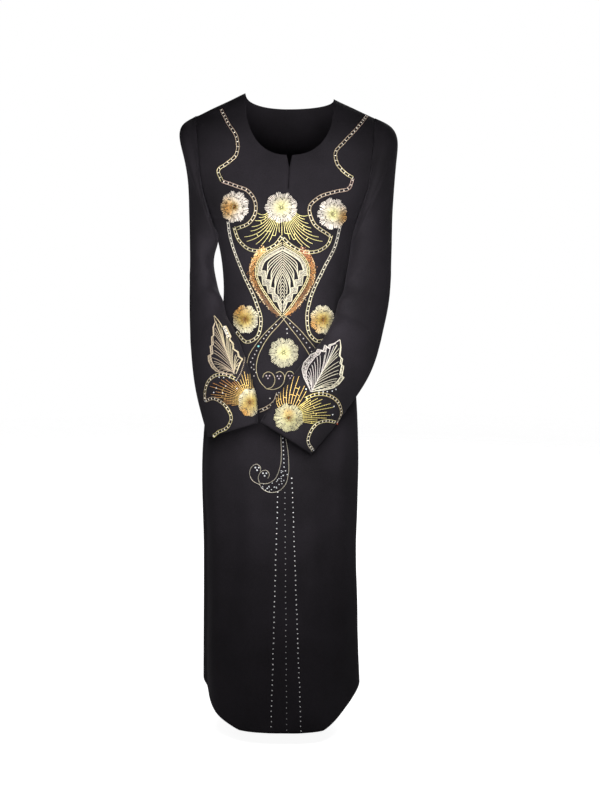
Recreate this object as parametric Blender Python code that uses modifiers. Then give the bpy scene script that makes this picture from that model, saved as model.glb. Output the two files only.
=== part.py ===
"""A long-sleeved kaftan of black crepe with raised bead-work, worn and hollow, in metres.

The wearer faces -Y, +X is the wearer's left and +Z is up. The origin lies between the two
points where the shoulder seams meet the neckline. Heights are given as a drop below it.
"""

import math

import bmesh
import bpy
import numpy as np
from mathutils.bvhtree import BVHTree

# Cloth and seams
WALL = 0.0016
SEAM_GAP = 0.0003
SEAM_MARGIN = 0.003
LIFT = 0.0010
UNDERARM_CLEARANCE = 0.003
FOREARM_CLEARANCE = 0.004

# Shoulders, neckline and centre-front slit
SHOULDER_FALL = 0.465
SHOULDER_RISE = 0.047
SHOULDER_ROLL = 0.10
TIP_OFFSET = 0.198
BODY_LEAN = 0.006
NECK_CENTRE = 0.014
NECK_HALF_WIDTH = 0.098
NECK_FRONT_DROP = 0.131
NECK_BACK_DROP = 0.022
NECK_SQUARENESS = 2.4
BODY_SQUARENESS = 2.4
SETTLE_DROP = 0.45
NOTCH_HALF_WIDTH = 0.006
NOTCH_ROWS = 3
SLIT_HALF_GAP = 0.0004
SLIT_ROWS = 6

# Armholes and hem
UNDERARM_DROP = 0.265
ARMHOLE_DEPTH = 0.066
ARMHOLE_HEIGHT = 0.220
ARMHOLE_FULLNESS = 0.75
ARMHOLE_FLATTENING = 0.4
LEAN_STARTS, LEAN_RUN = 110, 60
HEM_DROP = 1.416
HEM_RISE = {-1: 0.079, 1: 0.085}
HEM_CURVE_ANGLE = {-1: 54, 1: 51}

# Mesh steps
NECK_STEPS = 6
SHOULDER_STEPS = 5
ARMHOLE_STEPS = 10
WAIST_STEPS = 13
WAIST_END_DROP = 0.70
SKIRT_STEPS = 8
UPPER_SLEEVE_STEPS = 8
UPPER_SLEEVE_SECTIONS = 7
LOWER_SLEEVE_STEPS = 18

# The body's cross-sections, from the neck down
BODY_COLUMNS = ("drop", "centre", "half_width", "front", "back")
BODY = (
    (-0.020, 0.005, 0.200, 0.060, 0.050),
    (0.045, 0.005, 0.198, 0.074, 0.074),
    (0.120, 0.005, 0.192, 0.090, 0.090),
    (0.200, 0.004, 0.182, 0.112, 0.097),
    (0.265, 0.002, 0.164, 0.126, 0.095),
    (0.340, 0.004, 0.1475, 0.119, 0.087),
    (0.430, 0.003, 0.1390, 0.105, 0.080),
    (0.520, -0.001, 0.1450, 0.106, 0.088),
    (0.640, -0.004, 0.1665, 0.120, 0.112),
    (0.780, -0.008, 0.1785, 0.128, 0.128),
    (1.030, -0.010, 0.1770, 0.136, 0.142),
    (1.300, -0.008, 0.1825, 0.148, 0.156),
    (1.420, -0.007, 0.1850, 0.154, 0.162),
)

# Soft folds that hang from the hips, by their angle round the body from the wearer's left side.
# Columns: angle, spread, drop where it starts, height
FOLD_RUN_IN = 0.55
FOLDS = (
    (16, 9, 0.50, 0.005),
    (38, 9, 0.66, -0.003),
    (62, 10, 0.74, 0.0025),
    (121, 10, 0.72, -0.0025),
    (143, 9, 0.62, 0.003),
    (165, 9, 0.52, -0.005),
    (189, 8, 0.46, 0.006),
    (208, 8, 0.50, -0.008),
    (226, 8, 0.42, 0.009),
    (247, 9, 0.48, -0.009),
    (268, 9, 0.40, 0.010),
    (288, 8, 0.46, -0.009),
    (306, 8, 0.44, 0.008),
    (325, 8, 0.50, -0.007),
    (344, 8, 0.54, 0.005),
)

# The sleeves' sections, from shoulder to cuff.
# Columns: x, y and drop of the outer edge, x, y and drop of the inner edge, half the depth
SLEEVES = {
    "wearers_left": (
        (0.2035, 0.000, 0.0480, 0.1660, 0.000, 0.265, 0.066),
        (0.2370, 0.000, 0.0620, 0.1660, -0.016, 0.271, 0.071),
        (0.2570, 0.000, 0.0900, 0.1600, -0.026, 0.283, 0.070),
        (0.2510, 0.002, 0.1380, 0.1550, -0.034, 0.300, 0.066),
        (0.2460, 0.000, 0.2000, 0.1510, -0.040, 0.318, 0.060),
        (0.2420, -0.002, 0.2620, 0.1480, -0.052, 0.343, 0.056),
        (0.2420, -0.004, 0.3200, 0.1440, -0.064, 0.370, 0.053),
        (0.2410, -0.008, 0.3750, 0.1380, -0.074, 0.401, 0.051),
        (0.2390, -0.014, 0.4300, 0.1290, -0.084, 0.434, 0.050),
        (0.2310, -0.022, 0.4830, 0.1140, -0.100, 0.470, 0.049),
        (0.2200, -0.032, 0.5300, 0.1060, -0.116, 0.503, 0.046),
        (0.2070, -0.056, 0.5760, 0.0850, -0.134, 0.532, 0.043),
        (0.1860, -0.080, 0.6220, 0.0520, -0.150, 0.564, 0.040),
        (0.1530, -0.100, 0.6680, 0.0240, -0.165, 0.600, 0.037),
        (0.1150, -0.116, 0.7200, -0.0100, -0.174, 0.645, 0.034),
        (0.0605, -0.140, 0.7790, -0.0490, -0.178, 0.702, 0.031),
    ),
    "wearers_right": (
        (-0.1935, 0.000, 0.0430, -0.1620, 0.000, 0.265, 0.066),
        (-0.2190, 0.000, 0.0560, -0.1630, -0.018, 0.271, 0.070),
        (-0.2350, 0.000, 0.0800, -0.1560, -0.034, 0.283, 0.068),
        (-0.2220, 0.002, 0.1250, -0.1500, -0.044, 0.298, 0.065),
        (-0.2110, 0.004, 0.1850, -0.1500, -0.040, 0.318, 0.062),
        (-0.2110, 0.004, 0.2500, -0.1590, -0.018, 0.342, 0.059),
        (-0.2100, 0.004, 0.3100, -0.1635, -0.011, 0.368, 0.057),
        (-0.2105, 0.004, 0.3720, -0.1580, -0.014, 0.402, 0.055),
        (-0.2110, -0.002, 0.4300, -0.1455, -0.026, 0.438, 0.053),
        (-0.2110, -0.014, 0.4820, -0.1290, -0.066, 0.474, 0.050),
        (-0.2090, -0.034, 0.5340, -0.1090, -0.112, 0.510, 0.046),
        (-0.2040, -0.058, 0.5880, -0.0875, -0.138, 0.552, 0.042),
        (-0.1960, -0.080, 0.6400, -0.0707, -0.154, 0.600, 0.038),
        (-0.1840, -0.096, 0.6900, -0.0590, -0.164, 0.650, 0.035),
        (-0.1665, -0.108, 0.7485, -0.0560, -0.170, 0.706, 0.032),
    ),
}

# Drag lines and the crumple at each elbow.
# Columns: section, spread along, angle from the outer edge, spread round, height
SLEEVE_FOLDS = (
    (4.2, 0.9, 100, 40, -0.002),
    (6.0, 0.7, 60, 45, 0.003),
    (7.6, 0.5, 150, 35, -0.005),
    (8.4, 0.4, 140, 40, 0.005),
    (9.2, 0.4, 150, 40, -0.005),
    (10.1, 0.5, 130, 45, 0.004),
    (8.8, 0.8, 290, 40, 0.004),
    (11.8, 0.7, 90, 50, -0.003),
)

# Raised bead-work flowers.
# Columns: carrier, x and drop of the centre, half width, half height
FLOWERS = {
    "flower_chest_wearers_right": ("front_panel", -0.105, 0.243, 0.0290, 0.0335),
    "flower_chest_centre": ("front_panel", -0.005, 0.246, 0.0330, 0.0325),
    "flower_chest_wearers_left": ("front_panel", 0.104, 0.257, 0.0310, 0.0335),
    "flower_waist_wearers_right": ("front_panel", -0.083, 0.484, 0.0265, 0.0305),
    "flower_waist_wearers_left": ("front_panel", 0.080, 0.486, 0.0250, 0.0315),
    "flower_hip_centre": ("front_panel", -0.001, 0.558, 0.0315, 0.0320),
    "flower_cuff_wearers_right": ("sleeve_wearers_right", -0.081, 0.664, 0.0240, 0.0290),
    "flower_cuff_wearers_left": ("sleeve_wearers_left", 0.009, 0.692, 0.0310, 0.0300),
}
FLOWER_SPOKES = 24
FLOWER_SCALLOP = 0.05
FLOWER_RIDGE = 0.15
FLOWER_BUTTON = 0.0044
# Columns: share of the flower's reach, height
FLOWER_RINGS = ((0.34, 0.0034), (0.66, 0.0026), (0.92, 0.0022), (1.00, 0.0010))

# Raised leaves.
# Columns: carrier, x and drop of the broad end, x and drop of the tip, half width
LEAVES = {
    "leaf_medallion": ("front_panel", 0.000, 0.3215, 0.000, 0.4714, 0.064),
    "leaf_cuff_wearers_right": ("sleeve_wearers_right", -0.118, 0.602, -0.155, 0.478, 0.034),
    "leaf_cuff_wearers_left": ("sleeve_wearers_left", 0.066, 0.645, 0.126, 0.530, 0.043),
}
LEAF_ROWS = 11
LEAF_ACROSS = 6
LEAF_THICKNESS = 0.0014
LEAF_MIDRIB, LEAF_THINNING = 1.5, 0.6
LEAF_SHOULDER = 0.72
LEAF_FULLNESS = 0.8
LEAF_TOOTH = 0.86
LEAF_END = 0.06

# How far round a place the cloth's direction is taken, and where the search for it starts
NORMAL_REACH = 0.005
IN_FRONT = -1.0
JUST_IN_FRONT = -0.2

CREPE = (0.0105, 0.0095, 0.0110)
CREPE_ROUGHNESS = 0.9
CREAM_BEADS = (0.78, 0.66, 0.50)
SILVER_BEADS = (0.62, 0.60, 0.55)
BEAD_ROUGHNESS = 0.45


def read(table, columns, name, at):
    """One column of a table, read smoothly between its rows at places along the first column."""
    places = np.array([row[0] for row in table])
    values = np.array([row[columns.index(name)] for row in table])
    return through(places, values, at)


def through(places, values, at):
    """A smooth curve through values, one for each place."""
    slopes = np.gradient(values, places)
    at = min(max(at, places[0]), places[-1])
    i = min(max(int(np.searchsorted(places, at)) - 1, 0), len(places) - 2)
    step = places[i + 1] - places[i]
    t = (at - places[i]) / step
    return (
        (2 * t**3 - 3 * t**2 + 1) * values[i]
        + (t**3 - 2 * t**2 + t) * step * slopes[i]
        + (3 * t**2 - 2 * t**3) * values[i + 1]
        + (t**3 - t**2) * step * slopes[i + 1]
    )


def ramp(x):
    x = min(max(x, 0.0), 1.0)
    return x * x * (3 - 2 * x)


def shoulder_drop(x):
    return SHOULDER_FALL * abs(x) - SHOULDER_RISE


def hem_drop(share):
    """The hem rises in a curve to each side seam."""
    side = 1 if share > 0 else -1
    from_side = math.degrees(math.acos(min(abs(share), 1.0))) / HEM_CURVE_ANGLE[side]
    return HEM_DROP - HEM_RISE[side] * math.sin(0.5 * math.pi * max(1 - from_side, 0.0))


def fold_height(angle, drop):
    """How far the folds push the skirt out at an angle in degrees."""
    total = 0.0
    for middle, spread, starts, height in FOLDS:
        away = (angle - middle + 180) % 360 - 180
        total += height * math.exp(-((away / spread) ** 2)) * ramp((drop - starts) / FOLD_RUN_IN)
    return total


def body_point(face, share, drop):
    """A point of the front (face -1) or back (face 1), share -1 to 1 across it."""
    centre, half = (read(BODY, BODY_COLUMNS, name, drop) for name in ("centre", "half_width"))
    depth = read(BODY, BODY_COLUMNS, "front" if face < 0 else "back", drop)
    x = centre + half * share
    above_underarm = min(max((UNDERARM_DROP - drop) / ARMHOLE_HEIGHT, 0.0), 1.0)
    arch = math.sin(math.pi * above_underarm)
    edge = ARMHOLE_DEPTH * arch**ARMHOLE_FULLNESS if arch > 1e-6 else 0.0
    power = 0.5 + ARMHOLE_FLATTENING * arch**2
    round_off = max(1 - abs(share) ** BODY_SQUARENESS, 0.0) ** power
    below_seam = min(max((drop - shoulder_drop(x)) / SHOULDER_ROLL, 0.0), 1.0)
    roll = math.sqrt(1 - (1 - below_seam) ** 2)
    y = edge * (1 - round_off) + roll * depth * round_off
    angle = math.degrees(math.acos(min(max(share, -1.0), 1.0)))
    push = fold_height(angle if face < 0 else -angle, drop)
    out = np.array([share / half, y / depth**2])
    out /= max(np.linalg.norm(out), 1e-9)
    return np.array([x + push * out[0], face * (y + push * out[1] + SEAM_GAP / 2), -drop])


def top_edge(face):
    """(x, drop) of each column's top, from the wearer's right shoulder tip to the left one."""
    fall = NECK_FRONT_DROP if face < 0 else NECK_BACK_DROP
    edge = []
    for side in (-1, 1):
        half = []
        neck_x = NECK_CENTRE + side * NECK_HALF_WIDTH
        for step in range(NECK_STEPS + 1):
            turn = 0.5 * math.pi * step / NECK_STEPS
            across = math.sin(turn) ** (2 / NECK_SQUARENESS)
            down = max(math.cos(turn), 0.0) ** (2 / NECK_SQUARENESS)
            start = shoulder_drop(neck_x)
            half.append((NECK_CENTRE + side * NECK_HALF_WIDTH * across, start + (fall - start) * down))
        tip_x = BODY_LEAN + side * TIP_OFFSET
        for step in range(1, SHOULDER_STEPS + 1):
            x = neck_x + (tip_x - neck_x) * step / SHOULDER_STEPS
            half.append((x, shoulder_drop(x)))
        edge += half[::-1] if side < 0 else half
    return edge


def armhole_lean(angle, side):
    """The way a panel runs on from its armhole: inwards, but downwards at the underarm."""
    down = ramp((abs(math.degrees(angle)) - LEAN_STARTS) / LEAN_RUN)
    way = np.array([-side * (1 - down), 0.0, -down])
    return way / np.linalg.norm(way)


def with_pressed_seams(rows, face):
    """Adds a narrow strip along the shoulder, armhole and side seams, square to each seam."""
    back_from_seam = np.array([0.0, face * SEAM_MARGIN, 0.0])
    per_side = NECK_STEPS + SHOULDER_STEPS
    strip = []
    for column, (top, below) in enumerate(zip(rows[0], rows[1])):
        if SHOULDER_STEPS < column < 2 * per_side + 1 - SHOULDER_STEPS:
            way = below - top
            strip.append(top + way * SEAM_MARGIN / np.linalg.norm(way))
        else:
            strip.append(top + back_from_seam)
    rows.insert(1, strip)
    for number, row in enumerate(rows):
        for side, end in ((-1, 0), (1, -1)):
            step = max(number - 1, 0)
            if step < ARMHOLE_STEPS:
                lean = armhole_lean(math.pi * step / ARMHOLE_STEPS, side)
                pressed = row[end] + lean * SEAM_MARGIN
            else:
                pressed = row[end] + back_from_seam
            row.insert(1 if end == 0 else len(row) - 1, pressed)
    return rows


def panel_grid(face):
    """Rows of points of a whole panel. Its two middle columns lie together below the slit."""
    edge = top_edge(face)
    per_side = NECK_STEPS + SHOULDER_STEPS
    rows = []
    for row in range(ARMHOLE_STEPS + WAIST_STEPS + SKIRT_STEPS + 1):
        points = []
        for column, (top_x, top_drop) in enumerate(edge):
            side = -1 if column <= per_side else 1
            step = per_side - column if side < 0 else column - per_side - 1
            low_share = side * math.sin(0.5 * math.pi * step / per_side)
            centre = read(BODY, BODY_COLUMNS, "centre", top_drop)
            top_share = (top_x - centre) / read(BODY, BODY_COLUMNS, "half_width", top_drop)
            top_share = side if step == per_side else top_share
            if row <= ARMHOLE_STEPS:
                part = 0.5 * (1 - math.cos(math.pi * row / ARMHOLE_STEPS))
                drop = top_drop + (UNDERARM_DROP - top_drop) * part
            elif row <= ARMHOLE_STEPS + WAIST_STEPS:
                part = (row - ARMHOLE_STEPS) / WAIST_STEPS
                drop = UNDERARM_DROP + (WAIST_END_DROP - UNDERARM_DROP) * part
            else:
                part = (row - ARMHOLE_STEPS - WAIST_STEPS) / SKIRT_STEPS
                drop = WAIST_END_DROP + (hem_drop(low_share) - WAIST_END_DROP) * part
            settle = ramp((drop - top_drop) / (SETTLE_DROP - top_drop))
            point = body_point(face, top_share + (low_share - top_share) * settle, drop)
            if face < 0 and step == 0 and row < SLIT_ROWS:
                opening = (1 - row / NOTCH_ROWS) * NOTCH_HALF_WIDTH
                point[0] += side * max(opening, SLIT_HALF_GAP)
            points.append(point)
        rows.append(points)
    return with_pressed_seams(rows, face)


def sleeve_ring_values(name, section):
    """The outer edge, inner edge and half depth at a section number, evened out by a B-spline."""
    rows = np.array(SLEEVES[name])
    rows = np.vstack((2 * rows[0] - rows[1], rows, 2 * rows[-1] - rows[-2]))
    first = min(int(section), len(rows) - 4)
    t = section - first
    weights = ((1 - t) ** 3, 3 * t**3 - 6 * t**2 + 4, -3 * t**3 + 3 * t**2 + 3 * t + 1, t**3)
    values = sum(weight * rows[first + i] for i, weight in enumerate(weights)) / 6
    outer = np.array([values[0], values[1], -values[2]])
    inner = np.array([values[3], values[4], -values[5]])
    return outer, inner, values[6]


def sleeve_oval(name, section, angle):
    """A point of the plain oval tube. The angle runs from the outer edge over the front."""
    last = len(SLEEVES[name]) - 1
    outer, inner, depth = sleeve_ring_values(name, section)
    before = sum(sleeve_ring_values(name, max(section - 0.5, 0))[:2])
    after = sum(sleeve_ring_values(name, min(section + 0.5, last))[:2])
    along = (after - before) / np.linalg.norm(after - before)
    forward = along[1] * along - np.array([0.0, 1.0, 0.0])
    forward /= np.linalg.norm(forward)
    push = 0.0
    for middle, spread, at, reach, height in SLEEVE_FOLDS:
        away = (math.degrees(angle) - at + 180) % 360 - 180
        push += height * math.exp(-(((section - middle) / spread) ** 2) - (away / reach) ** 2)
    middle_point = (outer + inner) / 2
    half = (outer - inner) / 2
    width = np.linalg.norm(half)
    return (
        middle_point
        + half * math.cos(angle) * (1 + push / width)
        + forward * math.sin(angle) * (depth + push)
    )


def armhole_point(name, angle):
    """The armhole's edge, a seam's gap outside the panels."""
    side = 1 if SLEEVES[name][0][0] > 0 else -1
    face = -1 if math.sin(angle) >= 0 else 1
    tip = shoulder_drop(BODY_LEAN + side * TIP_OFFSET)
    drop = tip + (UNDERARM_DROP - tip) * 0.5 * (1 - math.cos(angle))
    point = body_point(face, side, drop)
    point[0] += side * SEAM_GAP
    return point


def clear_of_body(point, section):
    """Moves a sleeve's point straight out of the body, to just clear of it."""
    drop = -point[2]
    centre, half = (read(BODY, BODY_COLUMNS, name, drop) for name in ("centre", "half_width"))
    if drop < UNDERARM_DROP:
        side = math.copysign(1, point[0])
        nearest = half + SEAM_GAP + UNDERARM_CLEARANCE * ramp(section)
        return np.array([centre + side * max(side * (point[0] - centre), nearest), *point[1:]])
    clearance = UNDERARM_CLEARANCE + FOREARM_CLEARANCE * ramp((section - 4) / 4)
    depth = read(BODY, BODY_COLUMNS, "front" if point[1] < 0 else "back", drop) + clearance
    half += clearance
    for _ in range(8):
        across, deep = (point[0] - centre) / half, point[1] / depth
        inside = 1 - (abs(across) ** BODY_SQUARENESS + deep**2) ** 0.5
        if inside <= 0:
            break
        out = np.array([across / half, deep / depth, 0.0])
        point = point + out / max(np.linalg.norm(out), 1e-9) * inside * depth
    return point


def sleeve_point(name, section, angle):
    """A point of the sleeve: the armhole's own shape at the top, the oval tube from section 2."""
    point = sleeve_oval(name, section, angle)
    keep = 1 - ramp(section / 2)
    if keep > 0:
        point += keep * (armhole_point(name, angle) - sleeve_oval(name, 0, angle))
    return clear_of_body(point, section) if section > 0 else point


def own_material(name, colour, roughness):
    material = bpy.data.materials.new(name)
    material.use_nodes = True
    shader = material.node_tree.nodes["Principled BSDF"]
    shader.inputs["Base Color"].default_value = (*colour, 1)
    shader.inputs["Roughness"].default_value = roughness
    return material


def add_object(name, bm, colour, roughness, collection):
    mesh = bpy.data.meshes.new(name)
    bm.to_mesh(mesh)
    bm.free()
    mesh.shade_smooth()
    mesh.materials.append(own_material(name, colour, roughness))
    obj = bpy.data.objects.new(name, mesh)
    collection.objects.link(obj)
    return obj


def cloth(name, rows, collection, round_tube=False, split_at=None, flip=False):
    """A wall of cloth over rows of points, given its thickness inwards."""
    bm = bmesh.new()
    verts = [[bm.verts.new(point) for point in row] for row in rows]
    across = len(rows[0])
    for upper, lower in zip(verts, verts[1:]):
        for i in range(across if round_tube else across - 1):
            if i == split_at:
                continue
            j = (i + 1) % across
            corners = [upper[i], lower[i], lower[j], upper[j]]
            bm.faces.new(corners[::-1] if flip else corners)
    bmesh.ops.remove_doubles(bm, verts=bm.verts[:], dist=1e-6)
    obj = add_object(name, bm, CREPE, CREPE_ROUGHNESS, collection)
    wall = obj.modifiers.new("wall", "SOLIDIFY")
    wall.thickness = WALL
    wall.offset = -1
    wall.show_viewport = wall.show_render = True


def raised(name, spots, faces, heights, place, colour, collection):
    """A closed motif over flat spots (across, up), set on its carrier by place(across, up, lift)."""
    spots = np.array(spots)
    lifts = np.full(len(spots), LIFT)
    cloth_points = np.array([place(a, b, 0.0) for a, b in spots])
    sides = {side for face in faces for side in zip(face, face[1:] + face[:1])}
    for group in [list(face) for face in faces] + [list(side) for side in sides]:
        middle = spots[group].mean(axis=0)
        under = place(*middle, 0.0)
        outward = place(*middle, 1.0) - under
        ridge = (under - cloth_points[group].mean(axis=0)).dot(outward)
        lifts[group] = np.maximum(lifts[group], LIFT + ridge)
    bm = bmesh.new()
    low = [bm.verts.new(place(*spot, lift)) for spot, lift in zip(spots, lifts)]
    tops = lifts + np.array(heights)
    high = [bm.verts.new(place(*spot, top)) for spot, top in zip(spots, tops)]
    for face in faces:
        bm.faces.new([high[i] for i in face])
        bm.faces.new([low[i] for i in reversed(face)])
    for a, b in sides:
        if (b, a) not in sides:
            bm.faces.new([low[a], low[b], high[b], high[a]])
    bmesh.ops.recalc_face_normals(bm, faces=bm.faces[:])
    add_object(name, bm, colour, BEAD_ROUGHNESS, collection)


def placer(carrier, x, drop):
    """place(across, up, lift) for a motif that is set on its carrier as seen from the front."""
    carrier = bpy.data.objects[carrier]
    graph = bpy.context.evaluated_depsgraph_get()
    tree = BVHTree.FromObject(carrier, graph)

    def on_cloth(across, rise):
        hit = tree.ray_cast((x + across, IN_FRONT, rise - drop), (0.0, 1.0, 0.0))
        return hit if hit[0] else tree.find_nearest((x + across, JUST_IN_FRONT, rise - drop))

    def place(across, rise, lift):
        around = ((1, 0), (-1, 0), (0, 1), (0, -1))
        hits = [on_cloth(across + a * NORMAL_REACH, rise + b * NORMAL_REACH) for a, b in around]
        normal = sum((np.array(hit[1]) for hit in hits), np.zeros(3))
        point = np.array(on_cloth(across, rise)[0])
        return point + lift * normal / np.linalg.norm(normal)

    return place


def add_flowers(collection):
    for name, (carrier, x, drop, half_width, half_height) in FLOWERS.items():
        spots, heights = [(0.0, 0.0)], [FLOWER_BUTTON]
        for share, height in FLOWER_RINGS:
            for spoke in range(FLOWER_SPOKES):
                turn = 2 * math.pi * spoke / FLOWER_SPOKES
                out_or_in = (-1) ** spoke
                reach = share * (1 - FLOWER_SCALLOP + FLOWER_SCALLOP * out_or_in)
                spots.append((reach * half_width * math.cos(turn), reach * half_height * math.sin(turn)))
                heights.append(height * (1 + FLOWER_RIDGE * out_or_in))
        faces = []
        for i in range(FLOWER_SPOKES):
            j = (i + 1) % FLOWER_SPOKES
            faces.append((0, 1 + i, 1 + j))
            for ring in range(len(FLOWER_RINGS) - 1):
                inner, outer = 1 + ring * FLOWER_SPOKES, 1 + (ring + 1) * FLOWER_SPOKES
                faces.append((inner + i, outer + i, outer + j, inner + j))
        raised(name, spots, faces, heights, placer(carrier, x, drop), CREAM_BEADS, collection)


def add_leaves(collection):
    for name, (carrier, base_x, base_drop, tip_x, tip_drop, half_width) in LEAVES.items():
        middle = ((base_x + tip_x) / 2, (base_drop + tip_drop) / 2)
        spine = np.array([tip_x - base_x, base_drop - tip_drop])
        length = np.linalg.norm(spine)
        spine /= length
        side = np.array([spine[1], -spine[0]])
        spots, heights = [], []
        for row in range(LEAF_ROWS + 1):
            along = row / LEAF_ROWS
            width = max(math.sin(math.pi * along**LEAF_SHOULDER), 0.0) ** LEAF_FULLNESS
            tooth = 1.0 if row % 2 else LEAF_TOOTH
            for column in range(LEAF_ACROSS + 1):
                across = 2 * column / LEAF_ACROSS - 1
                spot = spine * (along - 0.5) * length
                spot = spot + side * across * half_width * max(width * tooth, LEAF_END)
                spots.append(tuple(spot))
                heights.append(LEAF_THICKNESS * (LEAF_MIDRIB - LEAF_THINNING * abs(across)))
        faces = []
        for row in range(LEAF_ROWS):
            for column in range(LEAF_ACROSS):
                a = row * (LEAF_ACROSS + 1) + column
                b = a + LEAF_ACROSS + 1
                faces.append((a, a + 1, b + 1, b))
        raised(name, spots, faces, heights, placer(carrier, *middle), SILVER_BEADS, collection)


def add_sleeves(collection):
    turns = [math.pi * step / ARMHOLE_STEPS for step in range(2 * ARMHOLE_STEPS)]
    for name, table in SLEEVES.items():
        last = len(table) - 1
        outwards = np.array([math.copysign(SEAM_MARGIN, table[0][0]), 0.0, 0.0])
        armhole = [sleeve_point(name, 0, turn) for turn in turns]
        rows = [armhole, [point + outwards for point in armhole]]
        upper = np.linspace(0, UPPER_SLEEVE_SECTIONS, UPPER_SLEEVE_STEPS + 1)[1:]
        lower = np.linspace(UPPER_SLEEVE_SECTIONS, last, LOWER_SLEEVE_STEPS + 1)[1:]
        for section in (*upper, *lower):
            rows.append([sleeve_point(name, section, turn) for turn in turns])
        cloth("sleeve_" + name, rows, collection, round_tube=True, flip=table[0][0] < 0)


for old in list(bpy.data.objects):
    bpy.data.objects.remove(old, do_unlink=True)
kaftan = bpy.data.collections.new("kaftan")
bpy.context.scene.collection.children.link(kaftan)
middle_column = NECK_STEPS + SHOULDER_STEPS + 1
cloth("front_panel", panel_grid(-1), kaftan, split_at=middle_column)
cloth("back_panel", panel_grid(1), kaftan, split_at=middle_column, flip=True)
add_sleeves(kaftan)
bpy.context.view_layer.update()
add_flowers(kaftan)
add_leaves(kaftan)
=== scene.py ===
"""A black crepe kaftan with gold, silver and amber bead-work, worn and hollow."""

import math

import bpy
import numpy as np
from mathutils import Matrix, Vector
from mathutils.bvhtree import BVHTree


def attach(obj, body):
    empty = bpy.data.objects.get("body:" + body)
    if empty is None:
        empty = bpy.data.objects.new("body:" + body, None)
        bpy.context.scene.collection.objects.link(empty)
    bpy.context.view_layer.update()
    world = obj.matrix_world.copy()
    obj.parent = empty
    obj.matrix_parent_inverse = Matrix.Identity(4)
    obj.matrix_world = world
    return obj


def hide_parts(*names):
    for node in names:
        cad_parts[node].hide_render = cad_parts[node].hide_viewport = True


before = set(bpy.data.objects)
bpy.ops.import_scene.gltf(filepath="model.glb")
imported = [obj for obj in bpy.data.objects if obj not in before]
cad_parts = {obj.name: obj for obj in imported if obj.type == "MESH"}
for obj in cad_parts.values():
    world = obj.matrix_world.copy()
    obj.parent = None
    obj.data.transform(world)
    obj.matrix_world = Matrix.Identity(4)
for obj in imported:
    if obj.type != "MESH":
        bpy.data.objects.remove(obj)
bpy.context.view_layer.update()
scene = bpy.context.scene

# Camera
# It stands three metres away at chest height and looks down a little, as the photograph does.
# A place in the picture, in pixels, is also a line of sight, along which the bead-work is set.
PICTURE_WIDTH, PICTURE_HEIGHT = 600, 800
EYE_TILT = math.radians(8)
EYE_DISTANCE = 3.0
EYE_TARGET = np.array([0.0366, 0.0, -0.679])
FOCAL_PIXELS = 1310.0
SENSOR_MM = 36.0

look = np.array([0.0, math.cos(EYE_TILT), -math.sin(EYE_TILT)])
look_up = np.array([0.0, math.sin(EYE_TILT), math.cos(EYE_TILT)])
eye = EYE_TARGET - EYE_DISTANCE * look
camera = bpy.data.objects.new("camera", bpy.data.cameras.new("camera"))
camera.data.sensor_width = SENSOR_MM
camera.data.lens = FOCAL_PIXELS * SENSOR_MM / PICTURE_HEIGHT
camera.location = eye
camera.rotation_euler = Vector(look).to_track_quat("-Z", "Y").to_euler()
scene.collection.objects.link(camera)
scene.camera = camera

# Studio
# A pale floor just under the hem that fades into a white backdrop, a faint light from all round
# and three soft lamps. The key lamp is near, at the height of the waist, so the skirt is darker.
FLOOR_DROP = 1.452
FLOOR_HALF = 7.0
SQUARE = ((-1, -1), (1, -1), (1, 1), (-1, 1))
FLOOR_PAINT, FLOOR_ROUGHNESS = (0.85, 0.85, 0.85, 1), 0.9
FADE_FROM, FADE_TO = 1.75, 5.25
FLOOR_GLOW = 0.93
ROOM_LIGHT = 0.035
WHITE = (1, 1, 1, 1)
LAMP_AIM = Vector((0.0, 0.0, -0.35))
# Columns: name, place, size, power
SOFT_LIGHTS = (
    ("key_lamp", (0.02, -0.75, -0.42), 0.5, 12),
    ("fill_lamp", (-0.9, -1.3, 0.45), 1.0, 2.4),
    ("back_lamp", (0.6, 2.6, 1.2), 2.0, 62),
)


def set_inputs(node, inputs):
    """Fills in a node: an output of another node is joined on, any other value is written in."""
    for name, value in inputs.items():
        if isinstance(value, bpy.types.NodeSocket):
            node.id_data.links.new(value, node.inputs[name])
        else:
            node.inputs[name].default_value = value


def new_node(tree, kind, inputs, **settings):
    """The outputs of a new node whose settings and inputs are filled in."""
    node = tree.nodes.new("ShaderNode" + kind)
    for name, value in settings.items():
        setattr(node, name, value)
    set_inputs(node, inputs)
    return node.outputs


def new_material(name):
    """A material, its node tree and its shader."""
    material = bpy.data.materials.new(name)
    material.use_nodes = True
    return material, material.node_tree, material.node_tree.nodes["Principled BSDF"]


floor_mesh = bpy.data.meshes.new("floor")
corners = [(x * FLOOR_HALF, y * FLOOR_HALF, -FLOOR_DROP) for x, y in SQUARE]
floor_mesh.from_pydata(corners, [], [(0, 1, 2, 3)])
floor = bpy.data.objects.new("floor", floor_mesh)
scene.collection.objects.link(floor)
floor_paint, tree, shader = new_material("floor_paint")
seen = new_node(tree, "LightPath", {})["Is Camera Ray"]
glow = new_node(tree, "Math", {0: seen, 1: FLOOR_GLOW}, operation="MULTIPLY")
place = new_node(tree, "TexCoord", {})["Object"]
from_middle = new_node(tree, "VectorMath", {0: place}, operation="LENGTH")["Value"]
fade = {"Value": from_middle, "From Min": FADE_FROM, "From Max": FADE_TO, "To Min": 1.0, "To Max": 0.0}
paint = {"Base Color": FLOOR_PAINT, "Roughness": FLOOR_ROUGHNESS, "Emission Color": WHITE}
glow_and_fade = {"Emission Strength": glow["Value"], "Alpha": new_node(tree, "MapRange", fade)["Result"]}
set_inputs(shader, paint | glow_and_fade)
floor_mesh.materials.append(floor_paint)

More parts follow.
